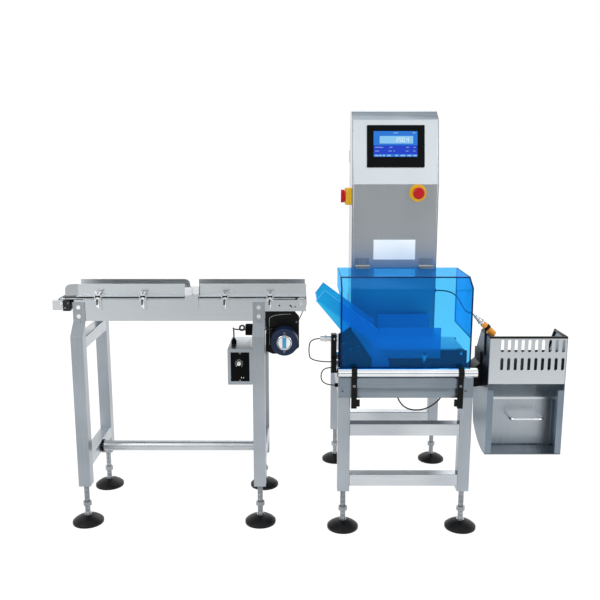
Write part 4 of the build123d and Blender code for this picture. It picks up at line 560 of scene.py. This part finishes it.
CLAMP_X = (-687.0, -538.6, -268.0, -119.0)
WING_Z = 782
bm = bmesh.new()
painted_clamp_shadow = bmesh.new()
for x in CLAMP_X:
    turned(bm, (x + 2.6, -234.9, 747), UP,
           [(0, 0), (1.8, 0.4), (2.4, 1.6), (2.4, 36), (1.8, 37), (0, 37.2)], 16)
    wings(bm, (x, -236.2, WING_Z), 52, (-1.3, -1.0, -13.5), (1.3, 1.0, -2.5), 0.5)
    turned(bm, (x, -232.3, WING_Z), FRONT, [(0, 0), (3.6, 0), (3.6, 4.6), (2.8, 5.4), (0, 5.6)], 20)
    # Black pieces behind each clamp: painted shadow between clamp, wing and bracket.
    block(painted_clamp_shadow, (x - 4.6, -235.4, 750), (x - 0.4, -232.4, 779), 0.6)
    block(painted_clamp_shadow, (x - 8, -236.6, 783.5), (x + 8, -229.0, 789.5), 1.0)
    turned(painted_clamp_shadow, (x, -227.5, 796.6), FRONT, [(0, 0), (2.6, 0), (2.4, 0.9), (0, 1.2)], 16)
shown("clamp_rods_and_wings", "machine", CHROME, bm)
shown("clamp_painted_shadows", "machine", RUBBER, painted_clamp_shadow)


# Strap and wing screw that hold the front weigh guide

STRAP_LEFT, STRAP_RIGHT = 388, 399
STRAP_FOOT = 560
WING_CENTRE = ((STRAP_LEFT + STRAP_RIGHT) / 2, 584)
bm = bmesh.new()
block(bm, (STRAP_LEFT, -249.6, STRAP_FOOT), (STRAP_RIGHT, -247.0, 606), 0.4)
block(bm, (STRAP_LEFT, -249.6, STRAP_FOOT), (STRAP_RIGHT, -242.0, 567), 0.4)
turned(bm, (WING_CENTRE[0], -249.4, WING_CENTRE[1]), FRONT,
       [(0, 0), (4.2, 0), (4.2, 5.5), (3.4, 6.4), (0, 6.6)], 20)
wings(bm, (WING_CENTRE[0], -254.2, WING_CENTRE[1]), 48, (-1.8, -1.1, 2.0), (1.8, 1.1, 15), 0.6)
shown("guide_strap", "machine", CHROME, bm)


# Black discs drawn over the open holes at the conveyor's end: painted shade where one looks into the holes

bm = bmesh.new()
for x in (-88, -52):
    for front, way in ((True, FRONT), (False, BACK)):
        turned(bm, met("conveyor_side_plates", x, 756, front), way,
               [(0, 0), (2.8, 0), (2.7, 0.3), (0, 0.4)], 20)
shown("plate_hole_painted_shade", "machine", ABS_BLACK, bm)


# Collars of the stand's tie tube, and end caps of the weigher's rail tubes

bm = bmesh.new()
for start in (-731.5, -184.5):
    turned(bm, (start - 0.4, -106, 219), RIGHT,
           [(18.3, 0), (21.4, 0), (22.6, 1.2), (22.6, 7.6), (21.4, 8.8), (18.3, 8.8)])
shown("tie_tube_collars", "machine", ABS_BLACK, bm)

bm = bmesh.new()
for tube_y in (-314.5, -90):
    for end_x, way in ((555, RIGHT), (104, LEFT)):
        turned(bm, (end_x, tube_y, 551), way, [(0, 0), (14.6, 0), (14.6, 1.6), (13.4, 2.6), (0, 2.9)])
shown("rail_tube_caps", "machine", ABS_BLACK, bm)


# Edges of sheet: thin square strips from corner to corner


def edge_chain(bm, corners, wide):
    """A strip of that width along each stretch between the corners, in millimetres."""
    half = wide / 2
    for start, end in zip(corners, corners[1:]):
        a, b = Vector(start) * MM, Vector(end) * MM
        turn = (b - a).to_track_quat("Z", "Y").to_matrix().to_4x4()
        long = (b - a).length / MM
        block(bm, (-half, -half, -half), (half, half, long + half), 0.5, place=Matrix.Translation(a) @ turn)


# Cut edges of the hood's sheet, where the blue dye gathers; the side sheet's own edges lie just outside.
HOOD_LEFT, HOOD_RIGHT = 114.1, 534.9
HOOD_FRONT, HOOD_CREST, HOOD_BACK = -295.3, -241.5, -37
HOOD_FOOT, HOOD_SHOULDER, HOOD_TOP = 564.6, 825, 852.8
SIDE_SHEET, CUTOUT_Z = 535.6, 661.5
bm = bmesh.new()
for x in (HOOD_LEFT, HOOD_RIGHT):
    edge_chain(bm, [(x, HOOD_FRONT, HOOD_FOOT), (x, HOOD_FRONT, HOOD_SHOULDER),
                    (x, HOOD_CREST, HOOD_TOP)], 4.6)
    edge_chain(bm, [(x, HOOD_CREST, HOOD_TOP), (x, HOOD_BACK, HOOD_TOP)], 2.6)
edge_chain(bm, [(HOOD_LEFT, HOOD_CREST, HOOD_TOP), (HOOD_RIGHT, HOOD_CREST, HOOD_TOP)], 4.6)
edge_chain(bm, [(HOOD_LEFT, -295.8, 563.6), (HOOD_RIGHT, -295.8, 563.6)], 3.2)
edge_chain(bm, [(SIDE_SHEET, -36, CUTOUT_Z), (SIDE_SHEET, -36, 853.4)], 2.6)
edge_chain(bm, [(SIDE_SHEET, -296, CUTOUT_Z), (SIDE_SHEET, -36, CUTOUT_Z)], 2.6)
shown("hood_edges", "hood_body", ACRYLIC_EDGE, bm)

# Folded edge of the motor's bracket, drawn as a pale strip of milled metal on the black: a painted highlight
# where it catches the light
BRACKET_EDGE_HIGHLIGHT = [(-122, -226.8, 622), (-122, -226.8, 711), (-117, -226.8, 717), (-106, -226.8, 722),
                (-88, -226.8, 725), (-52, -226.8, 727)]
bm = bmesh.new()
edge_chain(bm, BRACKET_EDGE_HIGHLIGHT, 1.2)
shown("motor_bracket_edge_painted_highlight", "machine", MILLED, bm)

# Cabinet: bright strips along the folds on its front, painted highlights; the seams of its side sheets; and
# a sheet of the darker housing finish over its sloped top, painted shade
CABINET_FACE, CABINET_BROW, CABINET_ROOF = -30.2, 12.7, 57.5
CABINET_FOOT, PANEL_FOOT, BROW_FOOT, ROOF_Z = 536, 1146, 1366, 1395
SEAM_LEFT, SEAM_RIGHT = 163, 461
# Bright strips along the folds: painted highlights.
bm = bmesh.new()
edge_chain(bm, [(162.8, 12.5, BROW_FOOT), (461.2, 12.5, BROW_FOOT)], 1.6)
edge_chain(bm, [(162.8, -30.6, PANEL_FOOT), (461.2, -30.6, PANEL_FOOT)], 1.2)
for x in (SEAM_LEFT + 4, SEAM_RIGHT - 4):
    edge_chain(bm, [(x, CABINET_FACE, CABINET_FOOT), (x, CABINET_FACE, PANEL_FOOT),
                    (x, CABINET_BROW, BROW_FOOT)], 1.4)
shown("cabinet_fold_painted_highlights", "machine", STEEL_BRIGHT, bm)
bm = bmesh.new()
for x in (SEAM_LEFT, SEAM_RIGHT):
    edge_chain(bm, [(x, CABINET_FACE, CABINET_FOOT), (x, CABINET_FACE, PANEL_FOOT),
                    (x, CABINET_BROW, BROW_FOOT), (x, CABINET_ROOF, ROOF_Z)], 1.8)
edge_chain(bm, [(SEAM_LEFT, CABINET_ROOF, ROOF_Z), (SEAM_RIGHT, CABINET_ROOF, ROOF_Z)], 1.6)
shown("cabinet_seams", "machine", ABS_GREY, bm)
# A thin sheet in the darker housing finish on the sloped top: painted shade for the darker band there.
bm = bmesh.new()
brow_slope = math.degrees(math.atan2(29, 45))
block(bm, (-147.6, -25.6, -0.2), (147.6, 25.6, 0.7), 0.2, place=posed((312, 35, 1380.5), brow_slope, "X"))
shown("cabinet_brow_painted_shade", "machine", STEEL_SHADE, bm)

# Chute: bright strips along the upper edges of its two walls and of its open end, and of the small wedge
# below it: painted highlights
CHUTE_X, CHUTE_Z = 33.5, 775
CHUTE_WALL = 45
CHUTE_END = 240
NEAR_WALL, FAR_WALL = -250.6, -96.1
slope = math.atan(0.75)
run = Vector((math.cos(slope), 0, -math.sin(slope)))
bm = bmesh.new()
for y in (NEAR_WALL, FAR_WALL):
    top = Vector((CHUTE_X + CHUTE_WALL * math.sin(slope), y, CHUTE_Z + CHUTE_WALL * math.cos(slope)))
    edge_chain(bm, [top, top + run * ((CHUTE_END - top.x) / run.x)], 2.4)
    edge_chain(bm, [(CHUTE_X, y, CHUTE_Z), top], 2.4)
edge_chain(bm, [(CHUTE_X + 0.4, NEAR_WALL, CHUTE_Z), (CHUTE_X + 0.4, FAR_WALL, CHUTE_Z)], 2.4)
edge_chain(bm, [(119.8, -251, 671), (147.6, -251, 693), (154.6, -251, 674)], 2.0)
shown("chute_edge_painted_highlights", "machine", ACRYLIC_BRIGHT, bm)

# Rubber profile pushed over the bin's upper edges
BIN_LEFT, BIN_RIGHT = 591.4, 834.6
BIN_FRONT, BIN_RIM = -326.4, 671.4
bm = bmesh.new()
edge_chain(bm, [(BIN_LEFT, BIN_FRONT, BIN_RIM), (BIN_RIGHT, BIN_FRONT, BIN_RIM)], 6.6)
for x in (BIN_LEFT, BIN_RIGHT):
    edge_chain(bm, [(x, BIN_FRONT, BIN_RIM), (x, -214, 669.6), (x, -151, 589)], 6.6)
shown("bin_edge_profile", "machine", RUBBER, bm)

# Folded lip along the foot and the top of the housing's front, in the housing's darker sheet: painted shade
bm = bmesh.new()
for low_z, high_z in ((465.6, 498), (529.4, 532.6)):
    block(bm, (166, -313.3, low_z), (492, -312.2, high_z), 0.4)
shown("housing_lip", "machine", STEEL_SHADE, bm)


# Polished skin of the gate's wire grip


def wire(name, body, material, corners, radius, bend, steps=8):
    """A round wire through its corners, each rounded to the bend, in millimetres."""
    path = [Vector(corners[0])]
    for before, corner, after in zip(corners, corners[1:], corners[2:]):
        corner = Vector(corner)
        into, out = (corner - Vector(before)).normalized(), (Vector(after) - corner).normalized()
        centre = corner - into * bend + out * bend
        for i in range(steps + 1):
            a = math.pi / 2 * i / steps
            path.append(centre - out * bend * math.cos(a) + into * bend * math.sin(a))
    path.append(Vector(corners[-1]))
    curve = bpy.data.curves.new(name, "CURVE")
    curve.dimensions = "3D"
    line = curve.splines.new("POLY")
    line.points.add(len(path) - 1)
    for point, place in zip(line.points, path):
        point.co = (*(place * MM), 1)
    curve.bevel_depth = radius * MM
    curve.bevel_resolution = 4
    curve.use_fill_caps = True
    holder = bpy.data.objects.new(name + "_line", curve)
    bpy.context.scene.collection.objects.link(holder)
    graph = bpy.context.evaluated_depsgraph_get()
    mesh = bpy.data.meshes.new_from_object(holder.evaluated_get(graph), depsgraph=graph)
    bpy.data.objects.remove(holder)
    shown(name, body, material, mesh)


GRIP_Z = 392
wire("gate_grip_skin", "gate_body", STEEL_POLISHED,
     [(673.5, -251.4, GRIP_Z), (673.5, -313, GRIP_Z), (780.5, -313, GRIP_Z), (780.5, -251.4, GRIP_Z)],
     radius=4.5, bend=14)


# Gear motor face: a plated ring, and a white hub with a blue slot

MOTOR_X, MOTOR_Z = -71, 644
HUB_RADIUS, HUB_SIDES = 20.4, 48
HUB_FACE, HUB_BACK = -289.9, -289.5
SLOT_HALF_X, SLOT_HALF_Z = 6.4, 18.2
PAST_SLOT = 30
bm = bmesh.new()
turned(bm, (MOTOR_X, -287.5, MOTOR_Z), FRONT,
       [(22.2, 0), (24.6, 0), (24.6, 1.4), (23.4, 2.2), (22.2, 1.8)], HUB_SIDES)
shown("motor_rim_ring", "machine", NICKEL, bm)

bm = bmesh.new()
round_edge, slot_edge = [], []
for i in range(HUB_SIDES):
    a = 2 * math.pi * i / HUB_SIDES
    across, upward = math.cos(a), math.sin(a)
    round_edge.append((across * HUB_RADIUS, upward * HUB_RADIUS))
    slot_edge.append((max(-SLOT_HALF_X, min(SLOT_HALF_X, PAST_SLOT * across)),
                      max(-SLOT_HALF_Z, min(SLOT_HALF_Z, PAST_SLOT * upward))))
rings = [[bm.verts.new(((MOTOR_X + x) * MM, y * MM, (MOTOR_Z + z) * MM)) for x, z in edge]
         for edge, y in ((round_edge, HUB_BACK), (round_edge, HUB_FACE),
                         (slot_edge, HUB_FACE), (slot_edge, HUB_BACK))]
for one, two in zip(rings, rings[1:]):
    for i in range(HUB_SIDES):
        after = (i + 1) % HUB_SIDES
        bm.faces.new([one[i], one[after], two[after], two[i]])
shown("motor_hub_face", "machine", ABS_WHITE, bm)

bm = bmesh.new()
block(bm, (MOTOR_X - 6.2, -289.2, MOTOR_Z - 18), (MOTOR_X + 6.2, -288.2, MOTOR_Z + 18), 0.3)
shown("motor_hub_slot", "machine", ABS_BLUE, bm)


# Speed box: marks round the dial, the knob's pointer and the rocker's marks

DIAL_X, DIAL_Z = -221, 571
bm = bmesh.new()
for i in range(11):
    mark = posed((DIAL_X, -275.2, DIAL_Z), -135 + 27 * i, "Y")
    block(bm, (-0.6, -0.2, 10.5), (0.6, 0.3, 14.5 if i % 5 == 0 else 13), 0.1, place=mark)
shown("dial_marks", "machine", ABS_WHITE, bm)
bm = bmesh.new()
block(bm, (-0.7, -0.4, 0.5), (0.7, 0.2, 6), 0.15, place=posed((DIAL_X, -283.1, DIAL_Z), -40, "Y"))
shown("knob_pointer", "speed_knob_body", ABS_BLACK, bm)
bm = bmesh.new()
rocker = posed((-209.6, -277, 523), -7, "Z")
for left in (-4.6, 2.6):
    block(bm, (left, -1.1, -2.2), (left + 2, -0.7, 2.2), 0.1, place=rocker)
shown("rocker_marks", "power_rocker_body", ABS_WHITE, bm)


# Two blank plates of label film on the cabinet

bm = bmesh.new()
block(bm, (239, -30.9, 883), (386, -30.4, 953), 0.15)
block(bm, (242, -30.9, 817), (388, -30.4, 849), 0.15)
shown("blank_label_plates", "machine", FILM, bm)


# Touch panel

panel = posed((312, -5.29, 1275), -11.06, "X")
GLASS = -5.0


def on_screen(bm, left, bottom, right, top, layer):
    """A thin plate on the display, in millimetres from the middle of the bezel."""
    block(bm, (left, GLASS - layer * 0.12 - 0.1, bottom), (right, GLASS + 0.02, top), 0.0, place=panel)


SCREEN_LEFT, SCREEN_FOOT, SCREEN_RIGHT, SCREEN_TOP = -77, -37, 75, 52
bm = bmesh.new()
on_screen(bm, SCREEN_LEFT, SCREEN_FOOT, SCREEN_RIGHT, SCREEN_TOP, 0)
shown("display_ground", "machine", SCREEN_BLUE, bm)
bm = bmesh.new()
on_screen(bm, SCREEN_LEFT, 3, SCREEN_RIGHT, SCREEN_TOP, 1)
on_screen(bm, SCREEN_LEFT, SCREEN_FOOT, SCREEN_RIGHT, -28, 1)
shown("display_bands", "machine", SCREEN_LIGHT, bm)
bm = bmesh.new()
on_screen(bm, -56, 9, 60, 35, 2)
shown("display_field", "machine", SCREEN_PALE, bm)

# A reading in seven-segment digits, each 7 mm wide and 14.6 mm high
SEGMENTS = {"2": "abged", "5": "afgcd", "0": "abcdef", "4": "fgbc"}
SEGMENT_BOXES = {"a": (0, 13, 7, 14.6), "b": (5.6, 7.6, 7, 14), "c": (5.6, 0.6, 7, 7), "d": (0, 0, 7, 1.5),
                 "e": (0, 0.6, 1.5, 7), "f": (0, 7.6, 1.5, 14), "g": (0, 6.6, 7, 8)}
DIGIT_FOOT, DIGIT_STEP, POINT_SIZE, POINT_STEP = 14.5, 10.5, 1.8, 4
bm = bmesh.new()
left = 2
for digit in "250.4":
    if digit == ".":
        on_screen(bm, left, DIGIT_FOOT, left + POINT_SIZE, DIGIT_FOOT + POINT_SIZE, 3)
        left += POINT_STEP
        continue
    for segment in SEGMENTS[digit]:
        a, b, c, d = SEGMENT_BOXES[segment]
        on_screen(bm, left + a, DIGIT_FOOT + b, left + c, DIGIT_FOOT + d, 3)
    left += DIGIT_STEP
shown("display_digits", "machine", SCREEN_WHITE, bm)

# Rows of short bars: each row's foot and height, then each bar's left end and length
BAR_ROWS = (
    (-5, 1.8, ((-72, 28), (-22, 10), (36, 10), (62, 7))),
    (-18, 1.8, ((-72, 14), (-26, 12), (-8, 5), (34, 10), (60, 8))),
    (-35, 4.5, ((-72, 11), (-58, 8), (-46, 9), (-30, 13), (-2, 9), (16, 16), (40, 14), (60, 12))),
    (44.5, 2.5, ((-8, 16),)),
    (44.5, 3, ((58, 10),)),
)
bm = bmesh.new()
for foot, height, bars in BAR_ROWS:
    for start, length in bars:
        on_screen(bm, start, foot, start + length, foot + height, 2)
shown("display_marks", "machine", SCREEN_TEXT, bm)
bm = bmesh.new()
on_screen(bm, -96, -50.8, 96, -49.9, 0)
shown("display_bezel_line", "machine", ABS_GREY, bm)


# Sensors: lock nuts on both sides of their bracket, and the bin sensor's sleeve and nut

HEXAGON = 6
bm = bmesh.new()
for x in (62, 92):
    turned(bm, (x, -242, 647), RIGHT,
           [(9.2, 0), (13.4, 0.0), (13.9, 0.8), (13.9, 3.4), (13.4, 4.2), (9.2, 4.2)], HEXAGON)
shown("sensor_lock_nuts", "machine", NICKEL, bm)
SENSOR_START = Vector((557, -272.5, 724))
SENSOR_WAY = Vector((0.7253, 0, -0.6884))
bm = bmesh.new()
turned(bm, SENSOR_START + SENSOR_WAY * 26, SENSOR_WAY,
       [(8.1, 0), (9.6, 0.8), (10.2, 3), (10.2, 50), (9.6, 53), (8.1, 54)])
shown("bin_sensor_sleeve", "machine", PVC_ORANGE, bm)
bm = bmesh.new()
turned(bm, SENSOR_START + SENSOR_WAY * 16, SENSOR_WAY,
       [(8.1, 0), (11.6, 0), (12, 0.8), (12, 4.2), (11.6, 5), (8.1, 5)], HEXAGON)
shown("bin_sensor_nut", "machine", NICKEL, bm)


# Cords: the points are those of the route in the part's source


def cord(name, node, points, diameter):
    """A cord from fitting to fitting, on a smooth line that follows its route."""
    curve = bpy.data.curves.new(name, "CURVE")
    curve.dimensions = "3D"
    line = curve.splines.new("NURBS")
    line.points.add(len(points) - 1)
    for point, place in zip(line.points, points):
        point.co = (*(v * MM for v in place), 1)
    line.order_u = 3
    line.use_endpoint_u = True
    line.resolution_u = 12
    curve.bevel_depth = diameter / 2 * MM
    curve.bevel_resolution = 4
    curve.use_fill_caps = True
    curve.materials.append(PVC_BLACK)
    piece = bpy.data.objects.new(name, curve)
    bpy.context.scene.collection.objects.link(piece)
    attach(piece, "machine")
    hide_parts(node)


cord("motor_lead_lower", "motor_cable", [
    (-243, -200, 638), (-243, -200, 677), (-243, -240, 677), (-200.5, -240, 677)], 5)
cord("motor_lead_upper", "motor_cable", [
    (-176.5, -232.5, 677), (-156, -232.5, 676.4), (-134, -232.5, 676.4), (-114, -232.5, 677)],
     5)
cord("gate_sensor_lead_upper", "sensor_cables", [
    (47, -242, 647), (15, -242, 647), (8, -252, 610), (15, -262, 573), (83, -262, 573)], 4)
cord("gate_sensor_lead_lower", "sensor_cables", [
    (83, -262, 553), (50, -262, 553), (50, -262, 493), (95, -262, 493)], 4)
cord("load_cell_lead", "cell_cable", [
    (300, -200, 497), (300, -240, 497), (303, -250, 455), (318, -270, 426), (345, -284, 414),
    (380, -287, 414), (415, -280, 424), (450, -262, 446), (470, -246, 485), (470, -246, 529.4)], 5)
cord("bin_sensor_lead", "bin_sensor_cable", [
    (554.1, -257.5, 726.75), (554.1, -205, 726.75), (549, -150, 719), (549, -95, 724), (548, -42, 738),
    (538, 8, 754), (510, 37.5, 760), (476, 37.5, 760)], 5)


# Spare cord wound up beside the motor's plug: three rings of cord, tilted each its own way

COIL_CENTRE = (-212, -240, 683)
CORD_RADIUS, CORD_SIDES = 2.3, 12
section = [2 * math.pi * i / CORD_SIDES for i in range(CORD_SIDES + 1)]
bm = bmesh.new()
for axis, radius in (((0.3, -1, 0.25), 8.5), ((-0.45, -1, 0.4), 7.5), ((0.7, -1, -0.3), 9.0)):
    turned(bm, COIL_CENTRE, axis,
           [(radius + CORD_RADIUS * math.cos(a), CORD_RADIUS * math.sin(a)) for a in section], 28)
shown("spare_cord_coil", "machine", PVC_BLACK, bm)


# Stage, light and camera

bm = bmesh.new()
bmesh.ops.create_grid(bm, x_segments=1, y_segments=1, size=30)
floor_mesh = bpy.data.meshes.new("studio_floor")
bm.to_mesh(floor_mesh)
bm.free()
floor = bpy.data.objects.new("studio_floor", floor_mesh)
bpy.context.scene.collection.objects.link(floor)
# Painted studio floor: it shows white, and keeps a soft share of the object's shadow.
paint, tree, surface = finish_named("white_studio_floor", "#F4F5F5", 0.9)
rays = add(tree, "ShaderNodeLightPath")
# Painted shade seen only in reflections: mirrored in the metal, the floor before the camera is drawn darker,
# sooner at the right than at the left.
spot = add(tree, "ShaderNodeSeparateXYZ", {0: add(tree, "ShaderNodeTexCoord").outputs["Object"]})
close = add(tree, "ShaderNodeMapRange",
            {"Value": spot.outputs["Y"], "From Min": -4.2, "From Max": -1.9}).outputs[0]
leftward = add(tree, "ShaderNodeMapRange",
               {"Value": spot.outputs["X"], "From Min": -0.7, "From Max": -1.9}).outputs[0]
reach = add(tree, "ShaderNodeMath", {0: close, 1: leftward}, operation="MAXIMUM").outputs[0]
level = add(tree, "ShaderNodeMapRange", {"Value": reach, "To Min": 0.6, "To Max": 1.25}).outputs[0]
shone = add(tree, "ShaderNodeMix", {0: rays.outputs["Is Glossy Ray"], 2: 1.14, 3: level}, data_type="FLOAT")
glow = add(tree, "ShaderNodeEmission", {"Color": tint("#FFFFFF"), "Strength": shone.outputs[0]})
seen = rays.outputs["Is Camera Ray"]
for kind in ("Is Glossy Ray", "Is Transmission Ray"):
    seen = add(tree, "ShaderNodeMath", {0: seen, 1: rays.outputs[kind]}, operation="MAXIMUM").outputs[0]
share = add(tree, "ShaderNodeMath", {0: seen, 1: 0.8}, operation="MULTIPLY")
shade = add(tree, "ShaderNodeMixShader", {0: share.outputs[0], 1: surface.outputs[0], 2: glow.outputs[0]})
show_shader(tree, shade)
floor_mesh.materials.append(paint)

world = bpy.data.worlds.new("studio")
bpy.context.scene.world = world
world.use_nodes = True
tree = world.node_tree
tree.nodes.clear()
direction = add(tree, "ShaderNodeTexCoord").outputs["Generated"]
ways = add(tree, "ShaderNodeSeparateXYZ", {0: direction})
# The room is white overhead and behind the object, and grey at the camera's end, so that metal shows both.
ahead = add(tree, "ShaderNodeMapRange",
            {"Value": ways.outputs["Y"], "From Min": -0.7, "From Max": 0.2}).outputs[0]
above = add(tree, "ShaderNodeMapRange",
            {"Value": ways.outputs["Z"], "From Min": 0.08, "From Max": 0.38}).outputs[0]
open_side = add(tree, "ShaderNodeMath", {0: ahead, 1: above}, operation="MAXIMUM").outputs[0]
room = add(tree, "ShaderNodeMapRange", {"Value": open_side, "To Min": 0.14, "To Max": 1.15}).outputs[0]
# Straight overhead it is a little dimmer again.
zenith = add(tree, "ShaderNodeMapRange", {"Value": ways.outputs["Z"], "From Min": 0.72, "From Max": 0.95,
                                          "To Min": 1.0, "To Max": 0.7}).outputs[0]
room = add(tree, "ShaderNodeMath", {0: room, 1: zenith}, operation="MULTIPLY").outputs[0]
# A wide soft box hangs over the camera, and the leaned panel mirrors it.
off_box = add(tree, "ShaderNodeMath", {0: ways.outputs["Z"], 1: 0.31}, operation="SUBTRACT").outputs[0]
off_box = add(tree, "ShaderNodeMath", {0: off_box}, operation="ABSOLUTE").outputs[0]
in_box = add(tree, "ShaderNodeMapRange", {"Value": off_box, "From Min": 0.03, "From Max": 0.15,
                                          "To Min": 1.1, "To Max": 0.0}).outputs[0]
toward = add(tree, "ShaderNodeMath", {0: 1.0, 1: ahead}, operation="SUBTRACT").outputs[0]
boxed = add(tree, "ShaderNodeMath", {0: in_box, 1: toward}, operation="MULTIPLY").outputs[0]
room = add(tree, "ShaderNodeMath", {0: room, 1: boxed}, operation="ADD").outputs[0]
# Metal mirrors that room, matt surfaces get an even level, and the camera sees white.
rays = add(tree, "ShaderNodeLightPath")
mirrored = add(tree, "ShaderNodeMix",
               {0: rays.outputs["Is Glossy Ray"], 2: 0.66, 3: room}, data_type="FLOAT")
strength = add(tree, "ShaderNodeMix",
               {0: rays.outputs["Is Camera Ray"], 2: mirrored.outputs[0], 3: 1.0}, data_type="FLOAT")
sky = add(tree, "ShaderNodeBackground", {"Color": tint("#FFFFFF"), "Strength": strength.outputs[0]})
add(tree, "ShaderNodeOutputWorld", {"Surface": sky.outputs[0]})


def lamp(name, place, aim, width, height, power):
    """A soft box at that place, turned to its aim, in metres and watts."""
    light = bpy.data.lights.new(name, "AREA")
    light.shape = "RECTANGLE"
    light.size, light.size_y, light.energy = width, height, power
    holder = bpy.data.objects.new(name, light)
    holder.location = place
    holder.rotation_euler = (Vector(aim) - Vector(place)).to_track_quat("-Z", "Y").to_euler()
    bpy.context.scene.collection.objects.link(holder)


lamp("key_box", (-2.2, -2.6, 2.9), (0, -0.1, 0.7), 1.6, 1.6, 36)
lamp("fill_box", (2.6, -2.4, 1.7), (0.2, -0.1, 0.7), 1.2, 2.0, 18)
lamp("top_box", (0.1, 0.2, 3.3), (0, -0.1, 0.6), 2.6, 1.4, 14)
lamp("rim_box", (0.4, 2.8, 2.2), (0, 0, 0.8), 2.2, 1.2, 16)

# The camera stands where the photograph's perspective puts it.
camera = bpy.data.objects.new("camera", bpy.data.cameras.new("camera"))
camera.location = (-0.020, -2.6689, 1.239)
camera.rotation_euler = (math.radians(90 - 10.77), 0, 0)
camera.data.lens = 45.12
camera.data.sensor_width = 36
camera.data.clip_end = 200
bpy.context.scene.collection.objects.link(camera)
bpy.context.scene.camera = camera
bpy.context.scene.view_settings.view_transform = "Standard"
